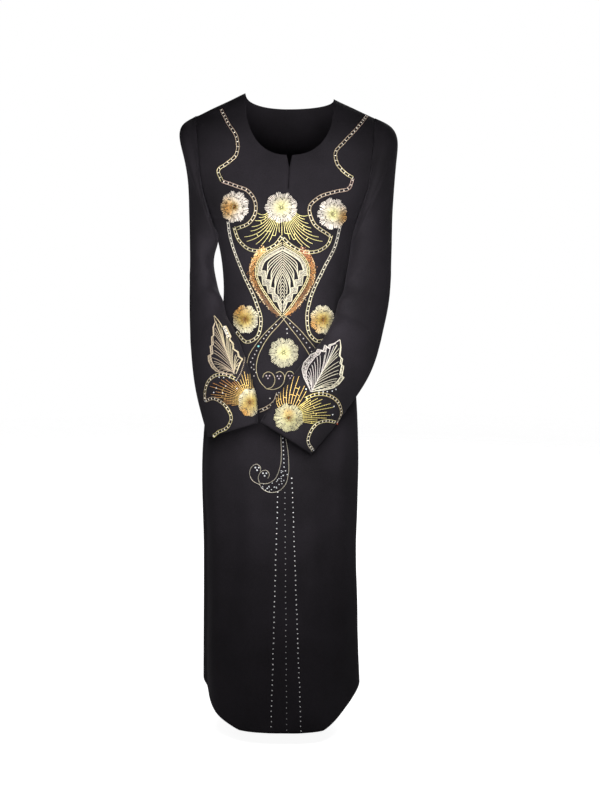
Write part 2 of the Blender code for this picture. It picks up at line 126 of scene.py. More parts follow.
room = bpy.data.worlds.new("room")
room.use_nodes = True
seen = new_node(room.node_tree, "LightPath", {})["Is Camera Ray"]
light = new_node(room.node_tree, "MapRange", {"Value": seen, "To Min": ROOM_LIGHT, "To Max": 1.0})
set_inputs(room.node_tree.nodes["Background"], {"Color": WHITE, "Strength": light["Result"]})
scene.world = room
scene.view_settings.view_transform = "Standard"
for name, place, size, power in SOFT_LIGHTS:
    lamp = bpy.data.objects.new(name, bpy.data.lights.new(name, "AREA"))
    lamp.data.size = size
    lamp.data.energy = power
    lamp.location = place
    lamp.rotation_euler = (LAMP_AIM - Vector(place)).to_track_quat("-Z", "Y").to_euler()
    lamp.visible_camera = False
    scene.collection.objects.link(lamp)

# Crepe
# A matt black polyester crepe with a pebbled face, a faint purple bloom on its raised threads
# and a turned edge with one row of stitches at the neck, hem and cuffs.
CREPE_BLACK = (0.0061, 0.0052, 0.0064, 1)
CREPE_BLOOM = (0.0181, 0.0152, 0.0196, 1)
GRAIN_SHARE, BLOOM_FROM, BLOOM_TO = 1.6, 0.55, 1.35
CREPE_GLOSS = 0.145
CREPE_SHEEN, SHEEN_ROUGHNESS, SHEEN_TINT = 0.045, 0.45, (0.55, 0.50, 0.60, 1)
# Scale and detail of the pebbles, of the long threads and of the slow cloudiness
PEBBLES, THREADS, CLOUDS = (900, 3), (1500, 2), (9, 4)
THREAD_STRETCH = (1.0, 1.0, 0.22)
VALLEY_ROUGHNESS, PEAK_ROUGHNESS = 0.92, 0.74
BUMP_STRENGTH, BUMP_HEIGHT = 0.55, 0.0007
TURNED_EDGE = 0.010
STITCH_WIDTH = 0.0011
STITCH_DEPTH = -0.8


def crepe_weave():
    """A node group that gives the colour, roughness and normal of pebbled crepe cloth."""
    group = bpy.data.node_groups.new("crepe_weave", "ShaderNodeTree")
    into = (("Dark", "Color"), ("Light", "Color"), ("Edge Distance", "Float"))
    out_of = (("Color", "Color"), ("Roughness", "Float"), ("Normal", "Vector"))
    for way, sockets in (("INPUT", into), ("OUTPUT", out_of)):
        for name, kind in sockets:
            group.interface.new_socket(name, in_out=way, socket_type="NodeSocket" + kind)
    given = group.nodes.new("NodeGroupInput").outputs

    def noise(vector, scale, detail):
        return new_node(group, "TexNoise", {"Vector": vector, "Scale": scale, "Detail": detail})["Fac"]

    def maths(operation, *values):
        return new_node(group, "Math", dict(enumerate(values)), operation=operation)[0]

    def spread(value, *limits):
        names = ("From Min", "From Max", "To Min", "To Max")
        return new_node(group, "MapRange", {"Value": value} | dict(zip(names, limits)))["Result"]

    place = new_node(group, "TexCoord", {})["Object"]
    stretched = new_node(group, "Mapping", {"Vector": place, "Scale": THREAD_STRETCH})["Vector"]
    grain = maths("MULTIPLY", noise(place, *PEBBLES), noise(stretched, *THREADS))
    tone = maths("MULTIPLY_ADD", grain, GRAIN_SHARE, noise(place, *CLOUDS))
    mix = {"Factor": spread(tone, BLOOM_FROM, BLOOM_TO), "A": given["Dark"], "B": given["Light"]}
    stitch = maths("COMPARE", given["Edge Distance"], TURNED_EDGE, STITCH_WIDTH)
    height = maths("MULTIPLY_ADD", stitch, STITCH_DEPTH, grain)
    bump = {"Strength": BUMP_STRENGTH, "Distance": BUMP_HEIGHT, "Height": height}
    made = {
        "Color": new_node(group, "Mix", mix, data_type="RGBA")["Result"],
        "Roughness": spread(grain, 0.0, 1.0, VALLEY_ROUGHNESS, PEAK_ROUGHNESS),
        "Normal": new_node(group, "Bump", bump)["Normal"],
    }
    set_inputs(group.nodes.new("NodeGroupOutput"), made)
    return group


crepe, tree, shader = new_material("black_crepe")
edge = new_node(tree, "Attribute", {}, attribute_name="edge_distance")["Fac"]
looks = {"Dark": CREPE_BLACK, "Light": CREPE_BLOOM, "Edge Distance": edge}
weave = new_node(tree, "Group", looks, node_tree=crepe_weave())
cloth = {"Base Color": weave["Color"], "Roughness": weave["Roughness"], "Normal": weave["Normal"]}
sheen = {"Sheen Weight": CREPE_SHEEN, "Sheen Roughness": SHEEN_ROUGHNESS, "Sheen Tint": SHEEN_TINT}
set_inputs(shader, cloth | sheen | {"Specular IOR Level": CREPE_GLOSS})

# Front and back
# Two pieces cut from crepe, sewn at the shoulders and sides. The front has a round neck with a
# small V notch and a short slit under it. Drops are measured down from the neck points.
CLOTH_THICKNESS = 0.0010
SEAM_GAP = 0.00005
SHOULDER_FALL, SHOULDER_RISE, SHOULDER_ROLL = 0.465, 0.047, 0.10
TIP_OFFSET = 0.198
BODY_LEAN = 0.006
NECK_CENTRE = 0.014
NECK_HALF_WIDTH = 0.098
NECK_DROP = {-1: 0.131, 1: 0.022}
SQUARENESS = 2.4
SETTLE_DROP = 0.45
NOTCH_HALF_WIDTH, NOTCH_HEIGHT = 0.006, 0.028
SLIT_HALF_GAP, SLIT_END_DROP = 0.0005, 0.205
UNDERARM_DROP = 0.265
ARMHOLE_DEPTH, ARMHOLE_HEIGHT = 0.066, 0.220
WAIST_END_DROP = 0.70
# The hem is lowest at the middle and rises to the wearer's right side and, more, to the left
HEM_DROP = 1.416
HEM_RISE = (0.106, 0.121)
HEM_CURVE_ANGLE = 60
HEM_APEX = 0.16
HEM_ROUNDING = 1.25
NECK_STEPS, SHOULDER_STEPS = 34, 18
ARMHOLE_STEPS, WAIST_STEPS, SKIRT_STEPS = 44, 70, 76
EDGE_STEP = 0.0015

BODY_COLUMNS = ("drop", "centre", "half_width", "front", "back")
BODY = np.array((
    (-0.02, 0.005, 0.2, 0.06, 0.05), (0.045, 0.005, 0.198, 0.074, 0.074), (0.12, 0.005, 0.192, 0.09, 0.09),
    (0.2, 0.004, 0.182, 0.112, 0.097), (0.265, 0.002, 0.164, 0.126, 0.095),
    (0.34, 0.004, 0.1475, 0.119, 0.087), (0.43, 0.003, 0.139, 0.105, 0.08),
    (0.52, -0.001, 0.145, 0.106, 0.088), (0.64, -0.004, 0.1665, 0.12, 0.112),
    (0.78, -0.008, 0.1785, 0.128, 0.128), (1.03, -0.01, 0.177, 0.136, 0.142),
    (1.3, -0.008, 0.1825, 0.148, 0.156), (1.42, -0.007, 0.185, 0.154, 0.162),
))
# Hanging folds. Columns: angle round the body, spread, drop where it starts, height
FOLD_RUN_IN = 0.55
FOLDS = (
    (16, 9, 0.5, 0.005), (38, 9, 0.66, -0.003), (62, 10, 0.74, 0.0025), (121, 10, 0.72, -0.0025),
    (143, 9, 0.62, 0.003), (165, 9, 0.52, -0.005), (189, 8, 0.46, 0.006), (208, 8, 0.5, -0.008),
    (226, 8, 0.42, 0.009), (247, 9, 0.48, -0.009), (268, 9, 0.4, 0.01), (288, 8, 0.46, -0.009),
    (306, 8, 0.44, 0.008), (325, 8, 0.5, -0.007), (344, 8, 0.54, 0.005),
)
# Creases by face. Columns: x and drop of one end, x and drop of the other, half width, height
CREASES = {
    -1: (
        (-0.168, 0.235, -0.085, 0.305, 0.01, -0.0026),
        (-0.16, 0.262, -0.095, 0.345, 0.008, 0.0018),
        (0.166, 0.235, 0.08, 0.312, 0.011, -0.0028),
        (0.158, 0.268, 0.1, 0.36, 0.008, 0.0018),
        (-0.134, 0.405, -0.06, 0.432, 0.009, -0.0018),
        (-0.136, 0.44, -0.05, 0.455, 0.007, 0.0014),
        (0.132, 0.402, 0.07, 0.44, 0.009, -0.0018),
        (0.13, 0.45, 0.06, 0.47, 0.007, 0.0014),
        (-0.15, 0.07, -0.08, 0.18, 0.013, -0.0016),
        (0.16, 0.075, 0.092, 0.19, 0.012, -0.0016),
        (-0.11, 0.76, -0.128, 1.4, 0.02, -0.0042),
        (-0.072, 0.82, -0.08, 1.41, 0.018, 0.003),
        (-0.03, 0.9, -0.038, 1.41, 0.016, -0.0018),
        (0.052, 0.8, 0.062, 1.41, 0.018, 0.003),
        (0.094, 0.74, 0.108, 1.4, 0.02, -0.0044),
        (0.13, 0.7, 0.14, 1.36, 0.014, 0.0032),
        (-0.15, 0.7, -0.158, 1.35, 0.014, 0.0032),
        (-0.12, 0.56, -0.06, 0.7, 0.012, -0.0016),
        (0.115, 0.56, 0.05, 0.72, 0.012, -0.0016),
    ),
    1: (
        (-0.165, 0.23, -0.07, 0.262, 0.011, -0.003),
        (-0.16, 0.262, -0.08, 0.322, 0.009, 0.0022),
        (0.168, 0.228, 0.062, 0.27, 0.011, -0.0028),
        (0.158, 0.27, 0.082, 0.335, 0.009, 0.0022),
        (-0.136, 0.395, -0.02, 0.425, 0.01, -0.0028),
        (-0.13, 0.432, 0.01, 0.448, 0.008, 0.0022),
        (0.136, 0.4, 0.03, 0.43, 0.01, -0.0026),
        (0.128, 0.446, -0.03, 0.468, 0.008, 0.002),
        (-0.085, 0.06, -0.06, 0.25, 0.014, -0.0018),
        (0.1, 0.06, 0.066, 0.24, 0.014, -0.0018),
        (0.004, 0.05, 0.0, 0.3, 0.016, 0.0014),
    ),
}
# Slow waves that keep any stretch of cloth from lying dead flat. Columns: along x, along the
# drop, phase, height
WAVES = ((42, 9, 0.4, 0.0008), (-68, 15, 2.1, 0.0005), (104, 27, 4.0, 0.0003), (26, -31, 1.2, 0.0004))
# How near a side seam the cloth lies smooth, as a share of the half width
SMOOTH_EDGE = {-1: 0.03, 1: 0.04}


def unit(vectors):
    return vectors / np.maximum(np.linalg.norm(vectors, axis=-1, keepdims=True), 1e-12)


def curve_through(places, values, at):
    """A smooth curve through values, one for each place."""
    slopes = np.gradient(values, places)
    at = np.clip(at, places[0], places[-1])
    i = np.clip(np.searchsorted(places, at) - 1, 0, len(places) - 2)
    step = places[i + 1] - places[i]
    t = (at - places[i]) / step
    return (
        (2 * t**3 - 3 * t**2 + 1) * values[i]
        + (t**3 - 2 * t**2 + t) * step * slopes[i]
        + (3 * t**2 - 2 * t**3) * values[i + 1]
        + (t**3 - t**2) * step * slopes[i + 1]
    )


def body_size(column, drop):
    return curve_through(BODY[:, 0], BODY[:, BODY_COLUMNS.index(column)], drop)


def ramp(x):
    x = np.clip(x, 0.0, 1.0)
    return x * x * (3 - 2 * x)


def shoulder_drop(x):
    return SHOULDER_FALL * np.abs(x) - SHOULDER_RISE


def hem_drop(share):
    wearers_left = (share > 0).astype(int)
    from_side = np.degrees(np.arccos(np.clip(np.abs(share), 0, 1))) / HEM_CURVE_ANGLE
    rounded = np.maximum(1 - np.hypot(from_side, HEM_APEX), 0) ** HEM_ROUNDING
    return HEM_DROP - np.array(HEM_RISE)[wearers_left] * rounded


def body_points(face, share, drop):
    """Points of the front (face -1) or back (face 1), at shares of the half width."""
    centre, half = body_size("centre", drop), body_size("half_width", drop)
    depth = body_size("front" if face < 0 else "back", drop)
    x = centre + half * share
    arch = np.maximum(np.sin(np.pi * np.clip((UNDERARM_DROP - drop) / ARMHOLE_HEIGHT, 0, 1)), 0.0)
    edge = ARMHOLE_DEPTH * arch**0.75
    round_off = np.maximum(1 - np.abs(share) ** SQUARENESS, 0) ** (0.5 + 0.4 * arch**2)
    below_seam = np.clip((drop - shoulder_drop(x)) / SHOULDER_ROLL, 0, 1)
    y = edge * (1 - round_off) + np.sqrt(1 - (1 - below_seam) ** 2) * depth * round_off
    angle = -face * np.degrees(np.arccos(np.clip(share, -1, 1)))
    push = np.zeros_like(y)
    for middle, spread, starts, height in FOLDS:
        away = (angle - middle + 180) % 360 - 180
        push += height * np.exp(-((away / spread) ** 2)) * ramp((drop - starts) / FOLD_RUN_IN)
    for x1, drop1, x2, drop2, width, height in CREASES[face]:
        run = np.array([x2 - x1, drop2 - drop1])
        along = ((x - x1) * run[0] + (drop - drop1) * run[1]) / run.dot(run)
        along = np.clip(along, 0, 1)
        wander = 0.35 * width * np.sin(9 * along + 40 * x1)
        off = np.hypot(x - x1 - run[0] * along + wander, drop - drop1 - run[1] * along)
        push += height * np.exp(-((off / width) ** 2)) * np.sin(np.pi * (0.12 + 0.8 * along))
    for wave_x, wave_drop, phase, height in WAVES:
        push += height * np.sin(wave_x * x + wave_drop * drop + phase)
    push = push * ramp((1 - np.abs(share)) / SMOOTH_EDGE[face])
    out = unit(np.stack((share / half, y / depth**2), axis=-1))
    y = face * (y + push * out[..., 1] + SEAM_GAP / 2)
    return np.stack((x + push * out[..., 0], y, -drop), axis=-1)


def panel_points(face):
    """Rows of points of a whole panel. Its two middle columns lie together below the slit."""
    turn = 0.5 * np.pi * np.arange(NECK_STEPS + 1) / NECK_STEPS
    across = np.sin(turn) ** (2 / SQUARENESS)
    down = np.clip(np.cos(turn), 0, 1) ** (2 / SQUARENESS)
    top_x, top_drop = [], []
    for side in (-1, 1):
        neck_x = NECK_CENTRE + side * NECK_HALF_WIDTH
        start = shoulder_drop(neck_x)
        tips = np.linspace(neck_x, BODY_LEAN + side * TIP_OFFSET, SHOULDER_STEPS + 1)[1:]
        x = np.concatenate((NECK_CENTRE + side * NECK_HALF_WIDTH * across, tips))
        drop = np.concatenate((start + (NECK_DROP[face] - start) * down, shoulder_drop(tips)))
        top_x.append(x[::side])
        top_drop.append(drop[::side])
    top_x, top_drop = np.concatenate(top_x), np.concatenate(top_drop)
    per_side = NECK_STEPS + SHOULDER_STEPS
    step = np.concatenate((np.arange(per_side, -1, -1), np.arange(per_side + 1)))
    side = np.repeat((-1, 1), per_side + 1)
    low_share = side * np.sin(0.5 * np.pi * step / per_side)
    top_share = (top_x - body_size("centre", top_drop)) / body_size("half_width", top_drop)
    top_share[[0, -1]] = (-1, 1)
    parts = 0.5 * (1 - np.cos(np.pi * np.arange(ARMHOLE_STEPS + 1) / ARMHOLE_STEPS))[:, None]
    upper = top_drop + (UNDERARM_DROP - top_drop) * parts
    parts = (np.arange(1, WAIST_STEPS + 1) / WAIST_STEPS)[:, None]
    waist = UNDERARM_DROP + (WAIST_END_DROP - UNDERARM_DROP) * parts + 0 * top_drop
    parts = (np.arange(1, SKIRT_STEPS + 1) / SKIRT_STEPS)[:, None]
    skirt = WAIST_END_DROP + (hem_drop(low_share) - WAIST_END_DROP) * parts
    drop = np.concatenate((upper, waist, skirt))
    settle = ramp((drop - top_drop) / (SETTLE_DROP - top_drop))
    points = body_points(face, top_share + (low_share - top_share) * settle, drop)
    if face < 0:
        for column, side in ((per_side, -1), (per_side + 1, 1)):
            below_neck = drop[:, column] - NECK_DROP[face]
            gap = np.maximum((1 - below_neck / NOTCH_HEIGHT) * NOTCH_HALF_WIDTH, SLIT_HALF_GAP)
            points[:, column, 0] += side * np.where(drop[:, column] < SLIT_END_DROP, gap, 0)
    return points


def grid_faces(number):
    """Four-cornered faces between rows of point numbers that close round."""
    right = np.roll(number, -1, axis=1)
    return np.stack((number[:-1], number[1:], right[1:], right[:-1]), axis=-1)


def run_along(line):
    """How far along a line each of its points lies."""
    return np.concatenate(((0,), np.cumsum(np.linalg.norm(np.diff(line, axis=0), axis=1))))


def points_at(line, distances):
    """The points at these distances along a line with corners."""
    run = run_along(line)
    return np.stack([np.interp(distances, run, column) for column in np.transpose(line)], axis=1)


cloth_surfaces = {}


def cloth_piece(name, rows, finished_edge, round_tube=False, split_at=None, flip=False):
    """A thin shell of crepe over rows of points, which knows how far each is from a finished edge."""
    count, across = rows.shape[:2]
    number = np.arange(count * across).reshape(count, across)
    if split_at is not None:
        together = np.linalg.norm(rows[:, split_at] - rows[:, split_at + 1], axis=1) < 1e-5
        number[together, split_at + 1] = number[together, split_at]
    faces = grid_faces(number)
    faces = faces if round_tube else faces[:, :-1]
    if split_at is not None:
        faces = np.delete(faces, split_at, axis=1)
    faces = faces.reshape(-1, 4)[:, :: -1 if flip else 1]
    points = rows.reshape(-1, 3)
    used, faces = np.unique(faces, return_inverse=True)
    points, faces = points[used], faces.reshape(-1, 4)
    mesh = bpy.data.meshes.new(name)
    mesh.from_pydata(points.tolist(), [], faces.tolist())
    mesh.shade_smooth()
    edge = [points_at(line, np.arange(0, run_along(line)[-1], EDGE_STEP)) for line in finished_edge]
    edge = np.concatenate(edge)
    distances = [np.linalg.norm(edge - point, axis=1).min() for point in points]
    mesh.attributes.new("edge_distance", "FLOAT", "POINT").data.foreach_set("value", distances)
    mesh.materials.append(crepe)
    piece = bpy.data.objects.new(name, mesh)
    scene.collection.objects.link(piece)
    wall = piece.modifiers.new("thickness", "SOLIDIFY")
    wall.thickness = CLOTH_THICKNESS
    wall.offset = -1
    cloth_surfaces[name] = BVHTree.FromPolygons(points.tolist(), faces.tolist())
    return piece


middle = NECK_STEPS + SHOULDER_STEPS
neck_columns = slice(SHOULDER_STEPS, 2 * middle + 2 - SHOULDER_STEPS)
for face, name in ((-1, "front"), (1, "back")):
    rows = panel_points(face)
    panel = cloth_piece(name, rows, (rows[0, neck_columns], rows[-1]), split_at=middle, flip=face > 0)
    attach(panel, "root")
    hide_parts(name + "_panel")

# Sleeves
# Each sleeve is one piece of crepe, joined along its inner side and set into the armhole. The
# elbows are bent, and both cuffs meet in front of the thighs.
UNDERARM_CLEARANCE = 0.0015
FOREARM_CLEARANCE = 0.004
# The flat cut of what shows: width, length and area
SLEEVE_CUT = {"wearers_left": (0.44, 0.76, 0.24), "wearers_right": (0.42, 0.70, 0.205)}
AROUND_SLEEVE = 88
SLEEVE_ROWS = 150
PRESS_ROUNDS = 8
# Sections from shoulder to cuff. Columns: x, y and drop of the outer edge, x, y and drop of the
# inner edge, half the depth
SLEEVES = {
    "wearers_left": (
        (0.2035, 0.0, 0.048, 0.166, 0.0, 0.265, 0.066),
        (0.237, 0.0, 0.062, 0.166, -0.016, 0.271, 0.071),
        (0.257, 0.0, 0.09, 0.16, -0.026, 0.283, 0.07),
        (0.251, 0.002, 0.138, 0.155, -0.034, 0.3, 0.066),
        (0.246, 0.0, 0.2, 0.151, -0.04, 0.318, 0.06),
        (0.242, -0.002, 0.262, 0.148, -0.052, 0.343, 0.056),
        (0.242, -0.004, 0.32, 0.144, -0.064, 0.37, 0.053),
        (0.241, -0.008, 0.375, 0.138, -0.074, 0.401, 0.051),
        (0.239, -0.014, 0.43, 0.129, -0.084, 0.434, 0.05),
        (0.231, -0.022, 0.483, 0.114, -0.1, 0.47, 0.049),
        (0.22, -0.032, 0.53, 0.106, -0.116, 0.503, 0.046),
        (0.207, -0.056, 0.576, 0.085, -0.134, 0.532, 0.043),
        (0.186, -0.08, 0.622, 0.052, -0.15, 0.564, 0.04),
        (0.153, -0.1, 0.668, 0.024, -0.165, 0.6, 0.037),
        (0.115, -0.116, 0.72, -0.01, -0.174, 0.645, 0.034),
        (0.0605, -0.14, 0.779, -0.049, -0.178, 0.702, 0.031),
    ),
    "wearers_right": (
        (-0.1935, 0.0, 0.043, -0.162, 0.0, 0.265, 0.066),
        (-0.219, 0.0, 0.056, -0.163, -0.018, 0.271, 0.07),
        (-0.235, 0.0, 0.08, -0.156, -0.034, 0.283, 0.068),
        (-0.222, 0.002, 0.125, -0.1465, -0.044, 0.298, 0.065),
        (-0.211, 0.004, 0.185, -0.144, -0.04, 0.318, 0.062),
        (-0.211, 0.004, 0.25, -0.1545, -0.018, 0.342, 0.059),
        (-0.21, 0.004, 0.31, -0.1605, -0.011, 0.368, 0.057),
        (-0.2105, 0.004, 0.372, -0.1535, -0.014, 0.402, 0.055),
        (-0.211, -0.002, 0.43, -0.1415, -0.026, 0.438, 0.053),
        (-0.211, -0.014, 0.482, -0.129, -0.066, 0.474, 0.05),
        (-0.209, -0.034, 0.534, -0.109, -0.112, 0.51, 0.046),
        (-0.204, -0.058, 0.588, -0.0875, -0.138, 0.552, 0.042),
        (-0.196, -0.08, 0.64, -0.0707, -0.154, 0.6, 0.038),
        (-0.184, -0.096, 0.69, -0.059, -0.164, 0.65, 0.035),
        (-0.1665, -0.108, 0.7485, -0.056, -0.17, 0.706, 0.032),
    ),
}
# Folds. Columns: section, spread along, angle from the outer edge, spread round, height, and
# how far the fold moves along the sleeve as it goes round
SLEEVE_FOLDS = (
    (4.2, 0.9, 100, 40, -0.002, 0.0), (6.0, 0.7, 60, 45, 0.003, 0.0), (7.6, 0.5, 150, 35, -0.005, 0.0),
    (8.4, 0.4, 140, 40, 0.005, 0.0), (9.2, 0.4, 150, 40, -0.005, 0.0), (10.1, 0.5, 130, 45, 0.004, 0.0),
    (8.8, 0.8, 290, 40, 0.004, 0.0), (11.8, 0.7, 90, 50, -0.003, 0.0), (2.6, 0.35, 95, 38, -0.0022, 1.1),
    (3.5, 0.3, 120, 42, 0.002, 1.3), (5.0, 0.28, 80, 46, -0.0018, -0.9), (6.6, 0.26, 105, 40, 0.0018, 0.8),
    (7.1, 0.2, 100, 50, -0.002, -0.7), (8.0, 0.2, 70, 48, 0.002, 0.9), (9.7, 0.22, 95, 45, -0.002, -0.8),
    (10.7, 0.24, 60, 45, 0.0018, 0.9), (12.6, 0.3, 110, 45, 0.0014, -0.8),
    (3.2, 0.4, 250, 42, -0.0025, -1.0), (4.6, 0.35, 280, 45, 0.0022, 1.0),
    (6.3, 0.3, 240, 42, -0.0024, -1.1), (7.8, 0.26, 265, 45, 0.0026, 0.9),
    (9.4, 0.26, 250, 42, -0.0026, -0.9), (10.9, 0.28, 275, 45, 0.002, 0.8),
)


def sleeve_values(name, section):
    """The outer edge, inner edge and half depth at a section number, evened out by a B-spline."""
    rows = np.array(SLEEVES[name])
    rows = np.vstack((2 * rows[0] - rows[1], rows, 2 * rows[-1] - rows[-2]))
    first = min(int(section), len(rows) - 4)
    t = section - first
    weights = ((1 - t) ** 3, 3 * t**3 - 6 * t**2 + 4, -3 * t**3 + 3 * t**2 + 3 * t + 1, t**3)
    values = sum(weight * rows[first + i] for i, weight in enumerate(weights)) / 6
    return values[:3] * (1, 1, -1), values[3:6] * (1, 1, -1), values[6]


def sleeve_oval(name, section, angle):
    """The ring of the plain oval tube. The angle runs from the outer edge over the front."""
    last = len(SLEEVES[name]) - 1
    outer, inner, depth = sleeve_values(name, section)
    before = sum(sleeve_values(name, max(section - 0.5, 0))[:2])
    after = sum(sleeve_values(name, min(section + 0.5, last))[:2])
    along = unit(after - before)
    forward = unit(along[1] * along - np.array([0.0, 1.0, 0.0]))
    push = 0.0005 * np.sin(3 * angle + 1.7 * section) * ramp(section / 2)
    for middle, spread, at, reach, height, shear in SLEEVE_FOLDS:
        away = (np.degrees(angle) - at + 180) % 360 - 180
        along_fold = (section - middle - shear * away / 90) / spread
        push += height * np.exp(-(along_fold**2) - (away / reach) ** 2)
    half = (outer - inner) / 2
    across = np.cos(angle) * (1 + push / np.linalg.norm(half))
    deep = np.sin(angle) * (depth + push)
    return (outer + inner) / 2 + half * across[:, None] + forward * deep[:, None]


def armhole_ring(name, angle):
    """The sleeve's first ring, which follows the side seam edges of both panels."""
    side = 1 if SLEEVES[name][0][0] > 0 else -1
    tip = shoulder_drop(BODY_LEAN + side * TIP_OFFSET)
    drop = tip + (UNDERARM_DROP - tip) * 0.5 * (1 - np.cos(angle))
    share = np.full_like(angle, side)
    front = np.sin(angle) >= 0
    ring = np.where(front[:, None], body_points(-1, share, drop), body_points(1, share, drop))
    ring[:, 0] += side * SEAM_GAP
    return ring


def clear_of_body(points, section):
    """Moves a sleeve's points straight out of the body, to just clear of it."""
    drop = -points[:, 2]
    centre, half = body_size("centre", drop), body_size("half_width", drop)
    side = np.sign(points[:, :1].mean())
    upper = points.copy()
    nearest = half + SEAM_GAP + UNDERARM_CLEARANCE * ramp(section)
    upper[:, 0] = centre + side * np.maximum(side * (points[:, 0] - centre), nearest)
    clearance = UNDERARM_CLEARANCE + FOREARM_CLEARANCE * ramp((section - 4) / 4)
    depth = np.where(points[:, 1] < 0, body_size("front", drop), body_size("back", drop)) + clearance
    half = half + clearance
    lower = points.copy()
    for _ in range(PRESS_ROUNDS):
        across, deep = (lower[:, 0] - centre) / half, lower[:, 1] / depth
        inside = np.maximum(1 - (np.abs(across) ** SQUARENESS + deep**2) ** 0.5, 0)
        out = unit(np.stack((across / half, deep / depth, 0 * across), axis=1))
        lower += out * (inside * depth)[:, None]
    return np.where((drop < UNDERARM_DROP)[:, None], upper, lower)


angles = 2 * np.pi * np.arange(AROUND_SLEEVE) / AROUND_SLEEVE
for name, table in SLEEVES.items():
    rings = []
    for section in np.linspace(0, len(table) - 1, SLEEVE_ROWS + 1):
        ring = sleeve_oval(name, section, angles)
        keep = 1 - ramp(section / 2)
        if keep > 0:
            ring += keep * (armhole_ring(name, angles) - sleeve_oval(name, 0, angles))
        rings.append(clear_of_body(ring, section) if section > 0 else ring)
    rings = np.array(rings)
    cuff = np.vstack((rings[-1], rings[-1][:1]))
    sleeve = cloth_piece("sleeve_" + name[8:], rings, (cuff,), round_tube=True, flip="right" in name)
    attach(sleeve, "root")
    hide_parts("sleeve_" + name)
    width, length, area = SLEEVE_CUT[name]

# Chains on the chest
# Two gold cords run side by side from each shoulder, round the chest flowers and down to the
# waist, with three small pale beads sewn across them at every centimetre.
CHAIN_HALF_WIDTH = 0.0029
CORD_RADIUS = 0.0008
# The height of a cord's middle and the size of its ends, as shares of the radius
CORD_LIFT, CORD_END = 0.7, 0.35
RUNG_PITCH, RUNG_RADIUS = 0.0108, 0.0014
# Places across the chain and sizes, as shares
RUNG_BEADS = ((0, 1.0), (-0.55, 0.62), (0.55, 0.62))
BEAD_FLATNESS, BEAD_GIRDLE, GIRDLE_SHIFT = 0.8, 0.88, 0.45
# How far out and how high a stone's rings of corners lie, and how far they are turned
STONE_RINGS = ((0.86, 0.08, 0.0), (1.0, 0.38, 0.0), (0.55, 0.83, 0.5))
SEQUIN_LIFT, SEQUIN_CUP, SEQUIN_MIDDLE, SEQUIN_TIP = 0.0006, 0.30, 0.18, 0.28
PIXEL_STEP = 0.42
BEHIND_CLOTH = (0, 0.12, 0)
ROSE_GOLD = (0.62, 0.44, 0.38)
PALE_GOLD = (0.60, 0.53, 0.28)
CHAIN_SILVER = (0.40, 0.38, 0.34)
PALE_BEAD = (0.92, 0.86, 0.74)
GLINT_SCALE, BEAD_GLOSS = 900, 0.6
# Columns: colours at the first and at the last place, and the places in the photograph
CHEST_CHAINS = (
    (ROSE_GOLD, PALE_GOLD,
     ((221, 109), (228, 123), (236.5, 137), (236, 155), (226, 164), (218.5, 170), (222, 181))),
    (ROSE_GOLD, PALE_GOLD,
     ((222, 181), (236, 186), (248, 191), (255.5, 203), (255, 214), (249, 223), (237, 228.5))),
    (ROSE_GOLD, PALE_GOLD,
     ((367, 116), (358, 127), (345, 141), (335.5, 153), (337, 163), (346, 173.5), (353, 178))),
    (ROSE_GOLD, PALE_GOLD,
     ((353, 178), (349, 188), (336, 191.5), (318, 198), (310, 206), (313, 222), (330, 236))),
    (PALE_GOLD, PALE_GOLD, ((234, 227), (239, 240), (250, 249.5), (262, 250.5), (276, 244), (282, 236))),
    (PALE_GOLD, PALE_GOLD, ((331.5, 235), (328, 244), (318, 251), (303, 251.5), (291, 245.5), (283, 238))),
    (CHAIN_SILVER, PALE_GOLD,
     ((228, 221), (230, 235), (243, 273), (256, 302), (261, 322), (256, 338), (247, 342), (236.5, 332))),
    (CHAIN_SILVER, PALE_GOLD,
     ((340, 226), (335, 246), (324, 268), (310, 300), (307, 318), (311, 336), (317, 341), (325, 340))),
)


def sight(column, row):
    """The way from the eye to a place in the picture."""
    across = (column - PICTURE_WIDTH / 2) / FOCAL_PIXELS
    rise = (PICTURE_HEIGHT / 2 - row) / FOCAL_PIXELS
    return unit(look + look_up * rise + (across, 0, 0))


def on_cloth(carrier, spots):
    """Where the eye's lines through spots meet the carrier's cloth, and the way out of it."""
    surface = cloth_surfaces[carrier]
    points, outward = [], []
    for column, row in spots:
        way = sight(column, row)
        hit = surface.ray_cast(eye, way)
        if hit[0] is None:
            hit = surface.find_nearest(eye + way * np.dot(EYE_TARGET - eye - BEHIND_CLOTH, way))
        points.append(hit[0])
        outward.append(-hit[1] if hit[1].dot(Vector(way)) > 0 else hit[1])
    return np.array(points), np.array(outward)


def smooth_line(spots, step=PIXEL_STEP):
    """Places evenly set on a smooth curve through the spots."""
    run = run_along(spots)
    at = np.linspace(0, run[-1], max(int(run[-1] / step), 2) + 1)
    return np.stack([curve_through(run, column, at) for column in np.transpose(spots)], axis=1)


def evenly(spots, count=None):
    """Places evenly set on a line that keeps the corners of the spots."""
    length = run_along(spots)[-1]
    return points_at(spots, np.linspace(0, length, count or max(int(length / PIXEL_STEP), 2) + 1))


def ring_of(aside, ahead, sides, turned=0.0):
    """Ways of length 1 all round, in the plane of the two that are given."""
    turn = 2 * np.pi * (np.arange(sides) + turned)[:, None] / sides
    return np.cos(turn) * aside[..., None, :] + np.sin(turn) * ahead[..., None, :]


def ring_round(axis, sides, turned=0.0):
    aside = unit(np.cross(axis, (0.31, 0.17, 0.93)))
    return ring_of(aside, np.cross(axis, aside), sides, turned)


